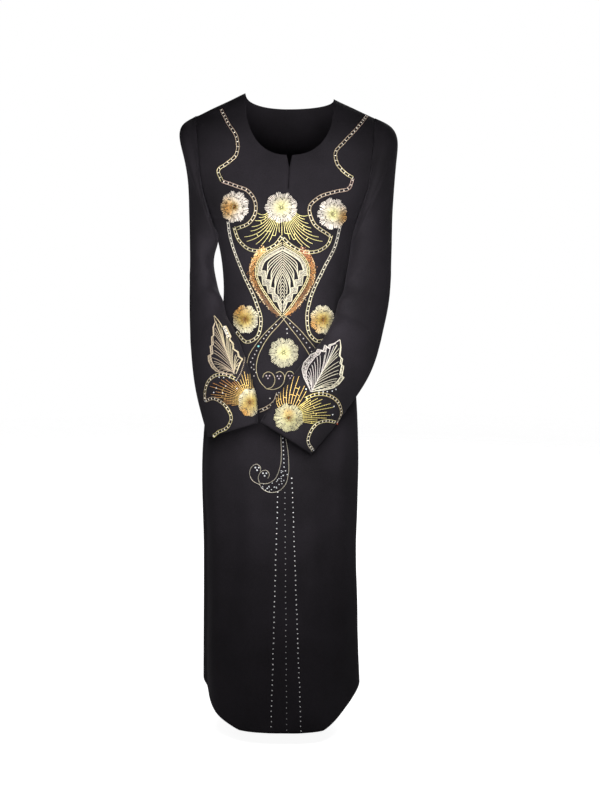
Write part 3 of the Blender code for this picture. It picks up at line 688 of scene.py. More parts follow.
class BeadWork:
    """Cords, beads and stones sewn to a piece of cloth, their carrier, as one mesh with its colours."""

    def __init__(self, seed, carrier="front"):
        self.carrier = carrier
        self.points, self.faces, self.colours, self.smooth, self.cloth = [], [], [], [], []
        self.count = 0
        self.random = np.random.default_rng(seed)

    def add(self, points, faces, colours, smooth=True, cloth=False):
        self.points.append(np.asarray(points))
        self.colours.append(np.broadcast_to(colours, np.shape(points)))
        self.faces += [[i + self.count for i in face] for face in faces]
        self.smooth += [smooth] * len(faces)
        self.cloth += [cloth] * len(faces)
        self.count += len(points)

    def cord(self, path, outward, radius, first, last=None, sides=6, bugle=0):
        """A cord laid along a path: twisted thread, or bugle beads of a given number of steps."""
        count = len(path)
        step = np.arange(count)
        ways = unit(np.gradient(path, axis=0))
        aside = unit(np.cross(outward, ways))
        over = np.cross(ways, aside)
        share = np.linspace(0, 1, count)[:, None]
        colour = np.array(first) * (1 - share) + np.array(first if last is None else last) * share
        if bugle:
            shade = self.random.uniform(0.80, 1.12, (count - 1) // bugle + 1)[step // bugle]
            swell = np.where(step % bugle == 0, 0.70, 1.0)
        else:
            shade = self.random.uniform(0.82, 1.12, count)
            swell = 1 + 0.16 * np.cos(step * 2.4)
        swell[[0, -1]] = CORD_END
        ring = ring_of(aside, over, sides) * (radius * swell)[:, None, None]
        points = (path + over * radius * CORD_LIFT)[:, None] + ring
        number = np.arange(count * sides).reshape(count, sides)
        faces = [*grid_faces(number).reshape(-1, 4).tolist(), number[0].tolist(), number[-1][::-1].tolist()]
        self.add(points.reshape(-1, 3), faces, np.repeat(colour * shade[:, None], sides, axis=0))

    def line(self, spots, radius, first, last=None, sharp=False, raised=0.0, **finish):
        """One cord along a route given as places in the picture."""
        path, outward = on_cloth(self.carrier, evenly(spots) if sharp else smooth_line(spots))
        self.cord(path + outward * raised, outward, radius, first, last, **finish)

    def beads_at(self, spots, radius, colour, raised=0.0, sides=6):
        for point, out in zip(*on_cloth(self.carrier, spots)):
            self.bead(point + out * raised, out, radius, colour, sides)

    def stones_at(self, spots, radius, colour, raised=0.0):
        for point, out in zip(*on_cloth(self.carrier, spots)):
            self.stone(point + out * raised, out, radius, colour)

    def bead(self, point, outward, radius, colour, sides):
        """A small round bead that rests on the cloth."""
        up = outward * radius * BEAD_FLATNESS
        girdle = point + up + ring_round(outward, sides) * radius * BEAD_GIRDLE
        points = [point, *(girdle - GIRDLE_SHIFT * up), *(girdle + GIRDLE_SHIFT * up), point + 2 * up]
        faces = []
        for i in range(1, sides + 1):
            j = i % sides + 1
            faces += [(0, j, i), (i, j, sides + j, sides + i), (sides + i, sides + j, 2 * sides + 1)]
        self.add(points, faces, np.array(colour) * self.random.uniform(0.85, 1.12))

    def stone(self, point, outward, radius, colour, sides=8):
        """A cut crystal with a flat table, glued down by its back."""
        points, faces = [], []
        for share, height, turned in STONE_RINGS:
            points += list(point + (ring_round(outward, sides, turned) * share + outward * height) * radius)
        for i in range(sides):
            j = (i + 1) % sides
            faces.append((i, j, sides + j, sides + i))
            faces += [(sides + i, sides + j, 2 * sides + i), (sides + j, 2 * sides + j, 2 * sides + i)]
        faces += [tuple(range(2 * sides, 3 * sides)), tuple(range(sides))[::-1]]
        self.add(points, faces, colour, smooth=False)

    def sequin(self, point, outward, radius, colour, sides=6):
        """A cupped disc, sewn through its middle and tipped a little its own way."""
        tip = unit(outward + self.random.normal(0, SEQUIN_TIP, 3))
        base = point + outward * SEQUIN_LIFT
        rim = base + (ring_round(tip, sides) + tip * SEQUIN_CUP) * radius
        pairs = [(i, i % sides + 1) for i in range(1, sides + 1)]
        faces = [(0, j, i) for i, j in pairs] + [(sides + 1, i, j) for i, j in pairs]
        colour = np.array(colour) * self.random.uniform(0.35, 1.5)
        self.add([base, *rim, base + tip * radius * SEQUIN_MIDDLE], faces, colour, smooth=False)

    def chain(self, spots, first, last, width=CHAIN_HALF_WIDTH, rung=RUNG_RADIUS, pitch=RUNG_PITCH):
        """Two cords side by side with three pale beads across them at even steps."""
        path, outward = on_cloth(self.carrier, smooth_line(spots))
        aside = unit(np.cross(outward, unit(np.gradient(path, axis=0))))
        for side in (-1, 1):
            self.cord(path + side * width * aside, outward, CORD_RADIUS, first, last)
        run = run_along(path)
        for at in np.arange(pitch / 2, run[-1], pitch):
            i = int(np.searchsorted(run, at)) - 1
            for offset, size in RUNG_BEADS:
                self.bead(path[i] + aside[i] * offset * width, outward[i], rung * size, PALE_BEAD, 6)

    def sewn(self, name, *replaced, finish, slot="flower_beads"):
        """Makes the piece. It replaces the nodes it stands for, and what it lies on stays under it."""
        mesh = bpy.data.meshes.new(name)
        mesh.from_pydata(np.concatenate(self.points).tolist(), [], self.faces)
        mesh.polygons.foreach_set("use_smooth", self.smooth)
        colours = np.pad(np.concatenate(self.colours), ((0, 0), (0, 1)), constant_values=1.0)
        mesh.color_attributes.new("bead_colour", "FLOAT_COLOR", "POINT")
        mesh.color_attributes["bead_colour"].data.foreach_set("color", colours.ravel())
        mesh.materials.append(finish)
        if any(self.cloth):
            mesh.materials.append(crepe)
            mesh.polygons.foreach_set("material_index", np.array(self.cloth, np.int32))
        piece = bpy.data.objects.new(name, mesh)
        scene.collection.objects.link(piece)
        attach(piece, "root")
        if replaced:
            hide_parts(*replaced)


def bead_finish(name, metallic, smoothest, roughest):
    """A material that takes its colour from the beads and glints unevenly."""
    finish, tree, shader = new_material(name)
    colour = new_node(tree, "Attribute", {}, attribute_name="bead_colour")["Color"]
    glints = new_node(tree, "TexNoise", {"Scale": GLINT_SCALE})["Fac"]
    limits = {"Value": glints, "To Min": smoothest, "To Max": roughest}
    roughness = new_node(tree, "MapRange", limits)["Result"]
    gloss = {"Metallic": metallic, "Specular IOR Level": BEAD_GLOSS}
    set_inputs(shader, {"Base Color": colour, "Roughness": roughness} | gloss)
    return finish


gold_thread = bead_finish("gold_thread", 0.45, 0.22, 0.60)
glass_beads = bead_finish("glass_beads", 0.05, 0.15, 0.55)

chains = BeadWork(seed=11)
for first, last, route in CHEST_CHAINS:
    chains.chain(route, first, last)
chains.sewn("chest_chains", finish=gold_thread)

# Flowers
# Each flower is a padded round of scalloped petals. A petal is seven strings of cream and amber
# seed beads sewn outwards, over them lies a ring of shorter ones, and a stone sits in the middle.
PETAL_WHITE = (0.82, 0.74, 0.66)
PETAL_CREAM = (0.58, 0.54, 0.38)
PETAL_PALE = (0.54, 0.50, 0.30)
PETAL_GOLD = (0.79, 0.74, 0.58)
AMBER = (0.66, 0.27, 0.05)
GLOW = (0.66, 0.62, 0.24)
GOLD_GLOW = (0.42, 0.27, 0.04)
HEART_AMBER = (0.26, 0.10, 0.010)
HEART_GREEN = (0.07, 0.08, 0.02)
SPECK = (0.045, 0.035, 0.015)
CORE_SHADE = {HEART_AMBER: 0.72, HEART_GREEN: 0.15}
STRINGS_A_PETAL = 7
STRING_RADIUS = 0.0013
SEED_BEAD, SPECK_BEAD = 0.0012, 0.0015
HEART_STONE = 0.0018
# Reaches from the middle, as shares of the flower's half width
PAD_REACH = (0.03, 0.78)
PETAL_START, PETAL_END, SCALLOP = 0.34, 0.86, 0.13
INNER_START, INNER_END = 0.10, 0.42
SPECK_REACH = (0.48, 0.78)
# One deeper notch in the rim: its depth, its turn and its spread
PETAL_NOTCH, NOTCH_TURN, NOTCH_SPREAD = 0.11, 1.5, 0.11
RIM_HEIGHT, FLOWER_RISE, PAD_FOOT = 0.0006, 0.0024, 0.0001
INNER_HEIGHT, SPECK_HEIGHT, RING_HEIGHT, STONE_HEIGHT = 0.0009, 0.0019, 0.0018, 0.0015
FLOWER_SHADOW = 0.22
# Beads round the stone. Columns: reach, number, radius
AMBER_RINGS = ((0.15, 6, 0.0017), (0.27, 9, 0.0014))
GREEN_RINGS = ((0.16, 6, 0.0013),)
# Columns: node, carrier, place, width and height in the picture, petals, petal colour, heart
# colour, glow colour and its reach, and the amber side: its angle, distance, spread and strength
FLOWERS = (
    ("flower_chest_wearers_right", "front", (235.2, 206.7), (27.5, 31.5), 9, PETAL_WHITE, HEART_AMBER,
     GOLD_GLOW, 0.2, 190, 0.5, 0.5, 0.72),
    ("flower_chest_centre", "front", (281.4, 207.6), (32, 31), 9, PETAL_WHITE, HEART_GREEN, GLOW, 0.46, 0,
     0, 1, 0),
    ("flower_chest_wearers_left", "front", (332.0, 213.7), (29, 31.5), 9, PETAL_WHITE, HEART_GREEN, GLOW,
     0.4, -14, 0.8, 0.42, 0.62),
    ("flower_waist_wearers_right", "front", (246.0, 319.0), (25, 29), 8, PETAL_GOLD, HEART_AMBER, GOLD_GLOW,
     0.52, 130, 0.85, 0.62, 0.75),
    ("flower_waist_wearers_left", "front", (322.0, 319.5), (23.5, 29.5), 8, PETAL_GOLD, HEART_AMBER,
     GOLD_GLOW, 0.52, 205, 0.85, 0.6, 0.7),
    ("flower_hip_centre", "front", (283.8, 352.7), (29.5, 30), 9, PETAL_CREAM, HEART_GREEN, GLOW, 0.44, 0,
     0, 1, 0),
    ("flower_cuff_wearers_right", "sleeve_right", (249.4, 402.3), (21.5, 28), 8, PETAL_GOLD, HEART_AMBER,
     GOLD_GLOW, 0.54, -120, 0.9, 0.55, 0.7),
    ("flower_cuff_wearers_left", "sleeve_left", (288.4, 417.6), (29, 28), 9, PETAL_PALE, HEART_AMBER, GLOW,
     0.4, 92, 0.3, 0.3, 0.7),
)


def bump_at(value, middle, spread):
    """1 in the middle, and less and less away from it."""
    return math.exp(-(((value - middle) / spread) ** 2))


def flower_tone(petal, core, glow, glow_reach, side, distance, spread, strength, turn, reach):
    """The colour of a bead at a turn and a reach from the middle."""
    side = math.radians(side)
    away_x = reach * math.cos(turn) - distance * math.cos(side)
    away_y = reach * math.sin(turn) - distance * math.sin(side)
    warm = strength * bump_at(math.hypot(away_x, away_y), 0, spread)
    colour = np.array(petal) ** (1 - warm) * np.array(AMBER) ** warm
    near = 0.9 * bump_at(reach, 0, glow_reach)
    ring = 1 - 0.26 * bump_at(reach, 0.60, 0.17) - core * bump_at(reach, 0, 0.28)
    return colour ** (1 - near) * np.array(glow) ** near * ring


def pad(work, rows_of_spots, low, high, colour=None):
    """A closed, low cushion over rows of picture places. With no colour it is covered in crepe."""
    count, across = np.shape(rows_of_spots)[:2]
    points, outward = on_cloth(work.carrier, np.reshape(rows_of_spots, (-1, 2)))
    total = count * across
    number = np.arange(total).reshape(count, across)
    under = (number[:-1, :-1], number[:-1, 1:], number[1:, 1:], number[1:, :-1])
    under = np.stack(under, axis=-1).reshape(-1, 4)
    faces = np.stack((under, under[:, ::-1] + total), axis=1).reshape(-1, 4)
    rim = np.concatenate((number[0], number[1:, -1], number[-1, -2::-1], number[-2:0:-1, 0]))
    after = np.roll(rim, -1)
    faces = np.concatenate((faces, np.stack((after, rim, rim + total, after + total), axis=1)))
    points = np.concatenate((points + outward * low, points + outward * np.reshape(high, (-1, 1))))
    work.add(points, faces, (0, 0, 0) if colour is None else colour, cloth=colour is None)


def sew_flower(work, place, size, petals, tone, heart):
    """The beads of one flower, round a place and as large as the size in the picture."""
    half = np.array(size) / 2

    def spot(reach, turn):
        return place[0] + half[0] * reach * math.cos(turn), place[1] - half[1] * reach * math.sin(turn)

    def dome(reach):
        return RIM_HEIGHT + FLOWER_RISE * math.sqrt(max(1 - min(reach, 1) ** 2, 0))

    def string(turn, start, end, steps, raised):
        reaches = np.linspace(start, end, steps)
        path, outward = on_cloth(work.carrier, [spot(reach, turn) for reach in reaches])
        path = path + outward * np.array([dome(reach) + raised for reach in reaches])[:, None]
        colour = np.array([tone(turn, reach) for reach in reaches]) * work.random.uniform(0.68, 1.10)
        work.cord(path, outward, STRING_RADIUS, colour, colour, sides=5, bugle=2)

    def bead(reach, turn, radius, colour, raised):
        work.beads_at([spot(reach, turn)], radius, colour, dome(reach) + raised, sides=5)

    reaches = np.linspace(*PAD_REACH, 6)
    turns = 2 * math.pi * np.arange(41) / 40
    spots = [[spot(reach, turn) for turn in turns] for reach in reaches]
    high = [[dome(reach)] * len(turns) for reach in reaches]
    shadow = [tone(turn, reach) * FLOWER_SHADOW for reach in reaches for turn in turns]
    pad(work, spots, PAD_FOOT, high, np.concatenate((shadow, shadow)))
    strings = petals * STRINGS_A_PETAL
    for i in range(strings):
        turn = 2 * math.pi * (i + 0.5) / strings + 0.012 * work.random.normal()
        in_petal = (i % STRINGS_A_PETAL + 0.5) / STRINGS_A_PETAL
        end = PETAL_END + SCALLOP * math.sin(math.pi * in_petal) ** 0.7 + 0.018 * work.random.normal()
        end -= PETAL_NOTCH * bump_at(turn, NOTCH_TURN, NOTCH_SPREAD)
        string(turn, PETAL_START, end, 9, 0.0)
        bead(end, turn, SEED_BEAD, tone(turn, end), 0.0)
        if work.random.uniform() < 0.5:
            bead(work.random.uniform(*SPECK_REACH), turn, SPECK_BEAD, SPECK, SPECK_HEIGHT)
    for i in range(strings // 2):
        turn = 2 * math.pi * (i + 0.5) / (strings // 2)
        end = INNER_END + 0.10 * (i % 2) + 0.02 * work.random.normal()
        string(turn, INNER_START, end, 6, INNER_HEIGHT)
    amber = heart is HEART_AMBER
    middle_tone = heart if amber else tone(0, 0.3)
    work.stones_at([spot(0, 0)], HEART_STONE, middle_tone, dome(0) + STONE_HEIGHT)
    for reach, beads, radius in AMBER_RINGS if amber else GREEN_RINGS:
        for i in range(beads):
            turn = 2 * math.pi * (i + work.random.uniform(0, 0.4)) / beads
            bead(reach, turn, radius, heart, RING_HEIGHT)


for number, (node, carrier, place, size, petals, petal, heart, *warmth) in enumerate(FLOWERS):

    def tone(turn, reach):
        return flower_tone(petal, CORE_SHADE[heart], *warmth, turn, reach)

    flower = BeadWork(20 + number, carrier)
    sew_flower(flower, place, size, petals, tone, heart)
    flower.sewn(node + "_beads", node, finish=glass_beads)

# Chest fan
# Strings of gold bugle beads fan out from under the middle flower to both sides. Every third
# one is shorter, and a few short bars join neighbours like a net.
FAN_GOLD = (0.85, 0.76, 0.31)
FAN_LEAN = 20
SHORT_STRINGS = (0.78, 0.92)
BAR_STEPS, BAR_CHANCE = (3, 5), 0.4
BUGLE_RADIUS = 0.0007
BUGLE_STEPS = 6
MIDDLE_STRING = ((281.8, 221), (281.9, 235.5))
# Columns: centre, rim, first and last angle on the rim, bend, tips
CHEST_FANS = (
    ((281.6, 207.3), (15, 14.5), (202, 262), 0.6,
     ((257.5, 213), (256.4, 216.6), (254.8, 220.4), (251.8, 226.6), (248, 231.3), (244.3, 236.8),
      (246.8, 241.3), (253.8, 245.5), (262, 244.4), (269, 241.8), (275, 238.4), (279.4, 232.5))),
    ((281.6, 207.3), (15, 14.5), (-22, -82), 0.6,
     ((308.2, 215.2), (307.6, 219.4), (308.4, 223.4), (311, 228), (314.6, 232.8), (318.6, 237),
      (322.6, 241.3), (317.2, 245.5), (309.7, 247.6), (302.6, 245.8), (296, 243), (290, 239.6),
      (284.6, 233))),
)


def bent_line(start, control, end, until=1.0, steps=9):
    """Places on a bow from start to end, drawn towards the control."""
    t = np.linspace(0.0, until, steps)[:, None]
    return (1 - t) ** 2 * start + 2 * t * (1 - t) * control + t**2 * end


def fan(work, centre, rim, angles, bend, tips, first, last=None, radius=BUGLE_RADIUS, lean=0):
    """Strings that leave a flower's rim, leaning by some degrees, and bend over to their tips."""
    routes = []
    for i, tip in enumerate(np.array(tips, float)):
        share = i / (len(tips) - 1)
        turn = math.radians(angles[0] + (angles[1] - angles[0]) * share)
        start = np.array(centre) + (math.cos(turn) * rim[0], -math.sin(turn) * rim[1])
        turn += math.radians(lean) * (1 - share)
        control = start + np.array([math.cos(turn), -math.sin(turn)]) * bend * np.linalg.norm(tip - start)
        until = work.random.uniform(*SHORT_STRINGS) if i % 3 == 1 else 1.0
        routes.append(bent_line(start, control, tip, until))
        work.line(routes[-1], radius, first, last, bugle=BUGLE_STEPS, sides=5)
    for one, other in zip(routes, routes[1:]):
        for at in BAR_STEPS:
            if work.random.uniform() < BAR_CHANCE:
                near = np.argmin(np.linalg.norm(other - one[at], axis=1))
                work.line((one[at], other[near]), radius, first, sides=5)


chest_fan = BeadWork(seed=41)
for centre, rim, angles, bend, tips in CHEST_FANS:
    lean = FAN_LEAN * np.sign(angles[1] - angles[0])
    fan(chest_fan, centre, rim, angles, bend, tips, FAN_GOLD, lean=lean)
chest_fan.line(MIDDLE_STRING, BUGLE_RADIUS, FAN_GOLD, bugle=BUGLE_STEPS)
chest_fan.sewn("chest_fan", finish=gold_thread)

# Leaf medallion
# A drop-shaped frame of two gold cords holds a silver leaf that points down. The leaf is sewn on
# a pad covered in the black crepe, and has a toothed band filled with seed beads and nested veins.
SILVER = (0.62, 0.57, 0.42)
SILVER_GOLD = (0.64, 0.55, 0.27)
SILVER_SEED = (0.46, 0.42, 0.32)
# Painted shade: the silver seed colour darkened, seen in the gaps between the band's seeds
BAND_PAINTED_SHADE = (0.17, 0.155, 0.12)
PAD_THICKNESS = 0.0014
BAND_CORD, VEIN_CORD, CHEVRON_CORD = 0.00085, 0.0009, 0.0007
OUTER_HEIGHT, INNER_EDGE_HEIGHT, VEIN_HEIGHT = 0.0007, 0.0010, 0.0011
VEIN_STEP = 1.2
SMALL_SEED, SEED_HEIGHT, BAND_SEEDS = 0.0009, 0.0009, 430
BAND_PARTS, BAND_FOOT, BAND_TOP = (0.12, 0.5, 0.88), 0.0004, 0.0012
FRAME_CHAIN = {"width": 0.0018, "rung": 0.0007, "pitch": 0.0085}
MEDALLION_AXIS = 282.5
# Columns: half width and row in the picture, from the top down
FRAME_EDGE = (
    (0, 243.2), (7, 247.4), (12.8, 250.6), (18.8, 254.8), (23.6, 261), (26, 268), (26, 275), (22.6, 284.4),
    (18.4, 291.6), (12.8, 299.8), (7.4, 307.6), (0.8, 314.8),
)
LEAF_EDGE = (
    (0, 246.4), (12.4, 252.8), (18.6, 257.4), (22.6, 263.4), (24, 269), (24.4, 275), (20.6, 275.6),
    (19.5, 285), (15.5, 285.6), (14.3, 293), (10.3, 293.6), (9, 301), (4.9, 301.8), (2.8, 308),
    (0.6, 312),
)
BAND_EDGE = (
    (0, 249.4), (11.6, 255.4), (17, 260), (20, 265.6), (20.9, 270.6), (16.9, 270.8), (16.2, 279.4),
    (12.2, 279.8), (11.6, 287.2), (8.2, 288), (7.2, 293.9), (4.9, 295.2), (2.6, 300.4), (0.4, 305),
)
# The veins are arms that part at the middle and run out to the band, with the black pad as a
# tooth between them. Columns: half width and row along a tooth's upper edge, and its lower edge
TEETH = (
    (((0, 250.2), (10, 255.8), (17.9, 262), (20.8, 269.2)),
     ((0, 252.2), (9.2, 258.2), (14.2, 263.2), (14.8, 270.4))),
    (((0, 256), (8.2, 263.2), (14.2, 271), (16.2, 278.3)),
     ((0, 258.2), (7.2, 265.6), (10.9, 271.6), (11.2, 279.3))),
    (((0, 262.8), (5.9, 270.6), (10.2, 279.1), (11.8, 286.5)),
     ((0, 265.4), (4.7, 272.8), (7.3, 279.4), (7.2, 287.6))),
    (((0, 271), (4, 277.9), (6.9, 286), (7.8, 292.7)),
     ((0, 273.8), (2.8, 280.2), (4.4, 286.4), (4.2, 294))),
)
CHEVRON_ROWS = (278.4, 281.8, 285.2, 288.6, 292, 295.4, 298.8)
CHEVRON = ((0, 0), (1.5, 2.4), (2.8, 5.6))


def mirrored(edge, side):
    return [(MEDALLION_AXIS + side * half_width, row) for half_width, row in edge]


def seeded_band(work, outer, inner, amount, tone, raised):
    """Seed beads strewn between two lines, more of them where the band is wide."""
    outer, inner = evenly(outer, 200), evenly(inner, 200)
    width = np.linalg.norm(outer - inner, axis=1)
    at = work.random.choice(200, amount, p=width / width.sum())
    share = work.random.uniform(0.10, 0.90, (amount, 1))
    work.beads_at(outer[at] * (1 - share) + inner[at] * share, SMALL_SEED, tone, raised)


def band_pad(work, outer, inner, parts, low, high, colour):
    """A cushion under a seeded band, over lines that share out its width. Its colour is painted shade, seen
    between the seeds.
    """
    rows = [outer * (1 - part) + inner * part for part in parts]
    pad(work, rows, low, [[high] * len(outer)] * len(rows), colour)


def leaf_pad(work, left, right):
    """Padding under a whole leaf, from its left edge to its right edge."""
    left, right = evenly(left, 40), evenly(right, 40)
    across = np.linspace(0, 1, 9)[None, :, None]
    spots = left[:, None] * (1 - across) + right[:, None] * across
    high = PAD_THICKNESS * (1 - 0.6 * np.abs(2 * across[..., 0] - 1)) * np.ones((40, 1))
    pad(work, spots, PAD_FOOT, high)


medallion = BeadWork(seed=51)
leaf_pad(medallion, mirrored(FRAME_EDGE, -1), mirrored(FRAME_EDGE, 1))
for side in (-1, 1):
    outer, inner = mirrored(LEAF_EDGE, side), mirrored(BAND_EDGE, side)
    for edge, raised in ((outer, OUTER_HEIGHT), (inner, INNER_EDGE_HEIGHT)):
        medallion.line(edge, BAND_CORD, SILVER, sharp=True, raised=raised)
    seeded_band(medallion, outer, inner, BAND_SEEDS, SILVER_SEED, SEED_HEIGHT)
    outer, inner = evenly(outer, 60), evenly(inner, 60)
    band_pad(medallion, outer, inner, BAND_PARTS, BAND_FOOT, BAND_TOP, BAND_PAINTED_SHADE)
    veins = [smooth_line(edge, VEIN_STEP) for tooth in TEETH for edge in tooth]
    for above, below in zip(veins[1::2], veins[2::2]):
        veins.append((evenly(above, 14) + evenly(below, 14)) / 2)
    routes = [(vein, VEIN_CORD) for vein in veins]
    for row in CHEVRON_ROWS:
        routes.append(([(across, row + down) for across, down in CHEVRON], CHEVRON_CORD))
    for route, radius in routes:
        medallion.line(mirrored(route, side), radius, SILVER, raised=VEIN_HEIGHT)
    medallion.chain(mirrored(FRAME_EDGE, side), SILVER_GOLD, SILVER_GOLD, **FRAME_CHAIN)
medallion.sewn("medallion_beads", "leaf_medallion", finish=glass_beads, slot="leaf_beads")

# Sequin border
# Small cupped sequins and beads lie thickly round the outside of the medallion. Towards the top
# they are golden tan on the wearer's right and orange-red on the left, and brown-orange below.
GOLD_TAN = (0.86, 0.50, 0.16)
COPPER = (0.36, 0.16, 0.035)
RUST = (0.27, 0.06, 0.015)
BROWN = (0.12, 0.046, 0.006)
PALE_GLINT = (0.85, 0.70, 0.42)
# Columns: side, colours from the top to the bottom
SEQUIN_SIDES = ((-1, (GOLD_TAN, COPPER, BROWN, BROWN)), (1, (RUST, COPPER, BROWN, COPPER)))
COLOUR_STOPS = (0, 0.3, 0.6, 1)
SEQUINS_A_SIDE = 1500
SEQUIN_RADIUS = 0.0010
GLINT_CHANCE, BEAD_CHANCE = 0.3, 0.16
BORDER_GAP, BORDER_WIDTH, BORDER_EDGE = 1.4, 5.6, 5.4
BORDER_START, BORDER_END = 0.19, 0.985
STRAY_SHARE, STRAY_WAY = 0.97, 2.2

sequins = BeadWork(seed=61)
for side, colours in SEQUIN_SIDES:
    rim = evenly(smooth_line(mirrored(FRAME_EDGE, side)), SEQUINS_A_SIDE)
    ways = unit(np.gradient(rim, axis=0))
    outwards = np.stack((ways[:, 1], -ways[:, 0]), axis=1) * side
    t = np.linspace(0, 1, SEQUINS_A_SIDE)
    width = BORDER_WIDTH * np.minimum(1, np.sin(np.pi * np.clip(t * 0.97 + 0.02, 0, 1)) * 1.7) ** 0.7
    away = BORDER_GAP + width * sequins.random.uniform(0, 1, SEQUINS_A_SIDE) ** 0.85
    stray = sequins.random.uniform(0, 1, SEQUINS_A_SIDE) > STRAY_SHARE
    spots = rim + outwards * (away + STRAY_WAY * stray)[:, None]
    keep = (t > BORDER_START) & (t < BORDER_END)
    points, outward = on_cloth(sequins.carrier, spots[keep])
    for point, out, part, reach in zip(points, outward, t[keep], away[keep]):
        at = (part - BORDER_START) * 1.25
        tone = np.array([np.interp(at, COLOUR_STOPS, band) for band in zip(*colours)])
        patches = 0.16 * math.sin(95 * part + 2.1 * reach) + 0.14 * math.sin(41 * part - 3.3 * reach)
        tone = tone * (1 + patches)
        if reach > BORDER_EDGE and sequins.random.uniform() < GLINT_CHANCE:
            sequins.bead(point, out, SEQUIN_RADIUS, PALE_GLINT, sides=5)
        elif sequins.random.uniform() < BEAD_CHANCE:
            sequins.bead(point, out, SEQUIN_RADIUS, tone * 1.5, sides=5)
        else:
            sequins.sequin(point, out, SEQUIN_RADIUS, tone)
sequins.sewn("sequin_border", finish=glass_beads)

# Leaves on the cuffs
# Each sleeve has one silver leaf above its cuff flower, on a pad covered in the black crepe: a
# toothed double edge filled with seed beads, a midrib and looped veins.
CUFF_SILVER = (0.60, 0.56, 0.42)
CUFF_LILAC = (0.56, 0.51, 0.47)
CUFF_TAN = (0.46, 0.37, 0.26)
CUFF_LEAF_GOLD = (0.50, 0.42, 0.26)
PANEL_WHITE = (0.72, 0.68, 0.60)
EDGE_CORD, INNER_CORD, LOOP_CORD = 0.0009, 0.0007, 0.00065
RIB_HEIGHT, TOOTH_HEIGHT, INNER_LINE_HEIGHT, LOOP_HEIGHT = 0.0014, 0.0006, 0.0009, 0.0012
LEAF_SEEDS, LEAF_SEED_HEIGHT = 900, 0.0008
LEAF_PARTS, LEAF_FOOT, LEAF_TOP = (0.15, 0.5, 0.85), 0.0003, 0.0011
# A short ladder of white beads on the wearer's right leaf
PANEL_LINE = ((224.4, 326.8), (226.9, 332), (229.3, 338.2))
PANEL_CHAIN = {"width": 0.0036, "rung": 0.0015, "pitch": 0.0034}
# Edges run from the foot of the leaf to its tip
CUFF_LEAVES = {
    "sleeve_right": {
        "left": (
            (233.3, 374.4), (225.6, 374), (216.7, 371.3), (212.2, 367.4), (209, 361.1), (208.4, 355.8),
            (211.4, 354.2), (210.4, 346.2), (212.2, 345.4), (211.9, 337), (213.6, 335.6), (213.2, 327.8),
            (215.4, 322.4), (214.2, 315.8),
        ),
        "right": (
            (236.1, 373.9), (237.8, 370), (240.6, 362.4), (242.6, 359.2), (239.2, 356.7), (238.2, 352),
            (233.8, 349.2), (233.2, 343.5), (229.6, 339.2), (231, 336.7), (228.3, 331), (226, 326.3),
            (222.3, 327), (221, 324.2), (217.8, 320), (214.2, 315.8),
        ),
        "left_tone": CUFF_TAN,
        "right_tone": CUFF_LEAF_GOLD,
        "band": 0.15,
        "veins": 16,
        "rise": 0.3,
    },
    "sleeve_left": {
        "left": (
            (310.6, 391.7), (309.8, 389.4), (306.4, 382.8), (303.7, 377.2), (302.2, 369.4), (304.4, 362.8),
            (309.2, 357.8), (310.9, 355), (316.4, 352.6), (317.6, 349.6), (323.1, 350.8), (324.8, 345.3),
            (328.7, 348.5), (328.9, 345), (334.2, 343.5), (339.8, 339.6),
        ),
        "right": (
            (311.4, 391.7), (315.3, 390.8), (324.2, 390), (333.1, 387.8), (338.7, 383.9), (344, 377.4),
            (341.8, 376.1), (343.5, 366.3), (341.2, 364.4), (342.5, 359.1), (339.8, 356.1), (340.9, 347.2),
            (340.3, 343.5), (339.8, 339.6),
        ),
        "left_tone": CUFF_LILAC,
        "right_tone": CUFF_SILVER,
        "band": 0.26,
        "veins": 14,
        "rise": 0.32,
    },
}


def cuff_leaf(work, left, right, left_tone, right_tone, band, veins, rise):
    """A leaf from its two edges. The band's width and the veins' rise are shares of its size."""
    foot, tip = (np.array(left[0]) + right[0]) / 2, np.array(left[-1])
    length = np.linalg.norm(tip - foot)
    spine = (tip - foot) / length
    leaf_pad(work, left, right)
    work.line((foot, tip - spine * 6), EDGE_CORD, left_tone, right_tone, raised=RIB_HEIGHT)
    for edge, tone, share in ((left, left_tone, band), (right, right_tone, band * 0.6)):
        tone = np.array(tone)
        outer = evenly(edge, 120)
        along = (outer - foot) @ spine
        inner = outer + (foot + np.clip(along, 0, length)[:, None] * spine - outer) * share
        work.line(outer, EDGE_CORD, tone, sharp=True, raised=TOOTH_HEIGHT)
        work.line(inner[6:-8], INNER_CORD, tone, sharp=True, raised=INNER_LINE_HEIGHT)
        seeded_band(work, outer, inner, int(LEAF_SEEDS * share), tone * 0.8, LEAF_SEED_HEIGHT)
        inside = (outer[6:-8], inner[6:-8])
        # Painted shade: the band's cushion is the leaf tone darkened, seen between the seeds
        band_pad(work, *inside, LEAF_PARTS, LEAF_FOOT, LEAF_TOP, tone * 0.22)
        for vein in range(veins):
            end_at = length * (0.06 + 0.84 * vein / (veins - 1))
            at = max(0.9 * end_at - rise * length, 0.02 * length)
            end = inner[np.argmin(np.abs(along - end_at))]
            start = foot + spine * at
            end = start + (end - start) * work.random.uniform(0.84, 0.95)
            control = start + (end - start) * 0.5 + spine * 0.07 * length * (1 - at / length)
            route = bent_line(start, control, end, steps=8)
            work.line(route, LOOP_CORD, tone * 0.85, raised=LOOP_HEIGHT)


for number, (carrier, leaf) in enumerate(CUFF_LEAVES.items()):
    leaf_work = BeadWork(70 + number, carrier)
    cuff_leaf(leaf_work, **leaf)
    if carrier == "sleeve_right":
        leaf_work.chain(PANEL_LINE, PANEL_WHITE, PANEL_WHITE, **PANEL_CHAIN)
    node = "leaf_cuff_wearers" + carrier.removeprefix("sleeve")
    leaf_work.sewn(node + "_beads", node, finish=glass_beads, slot="leaf_beads")

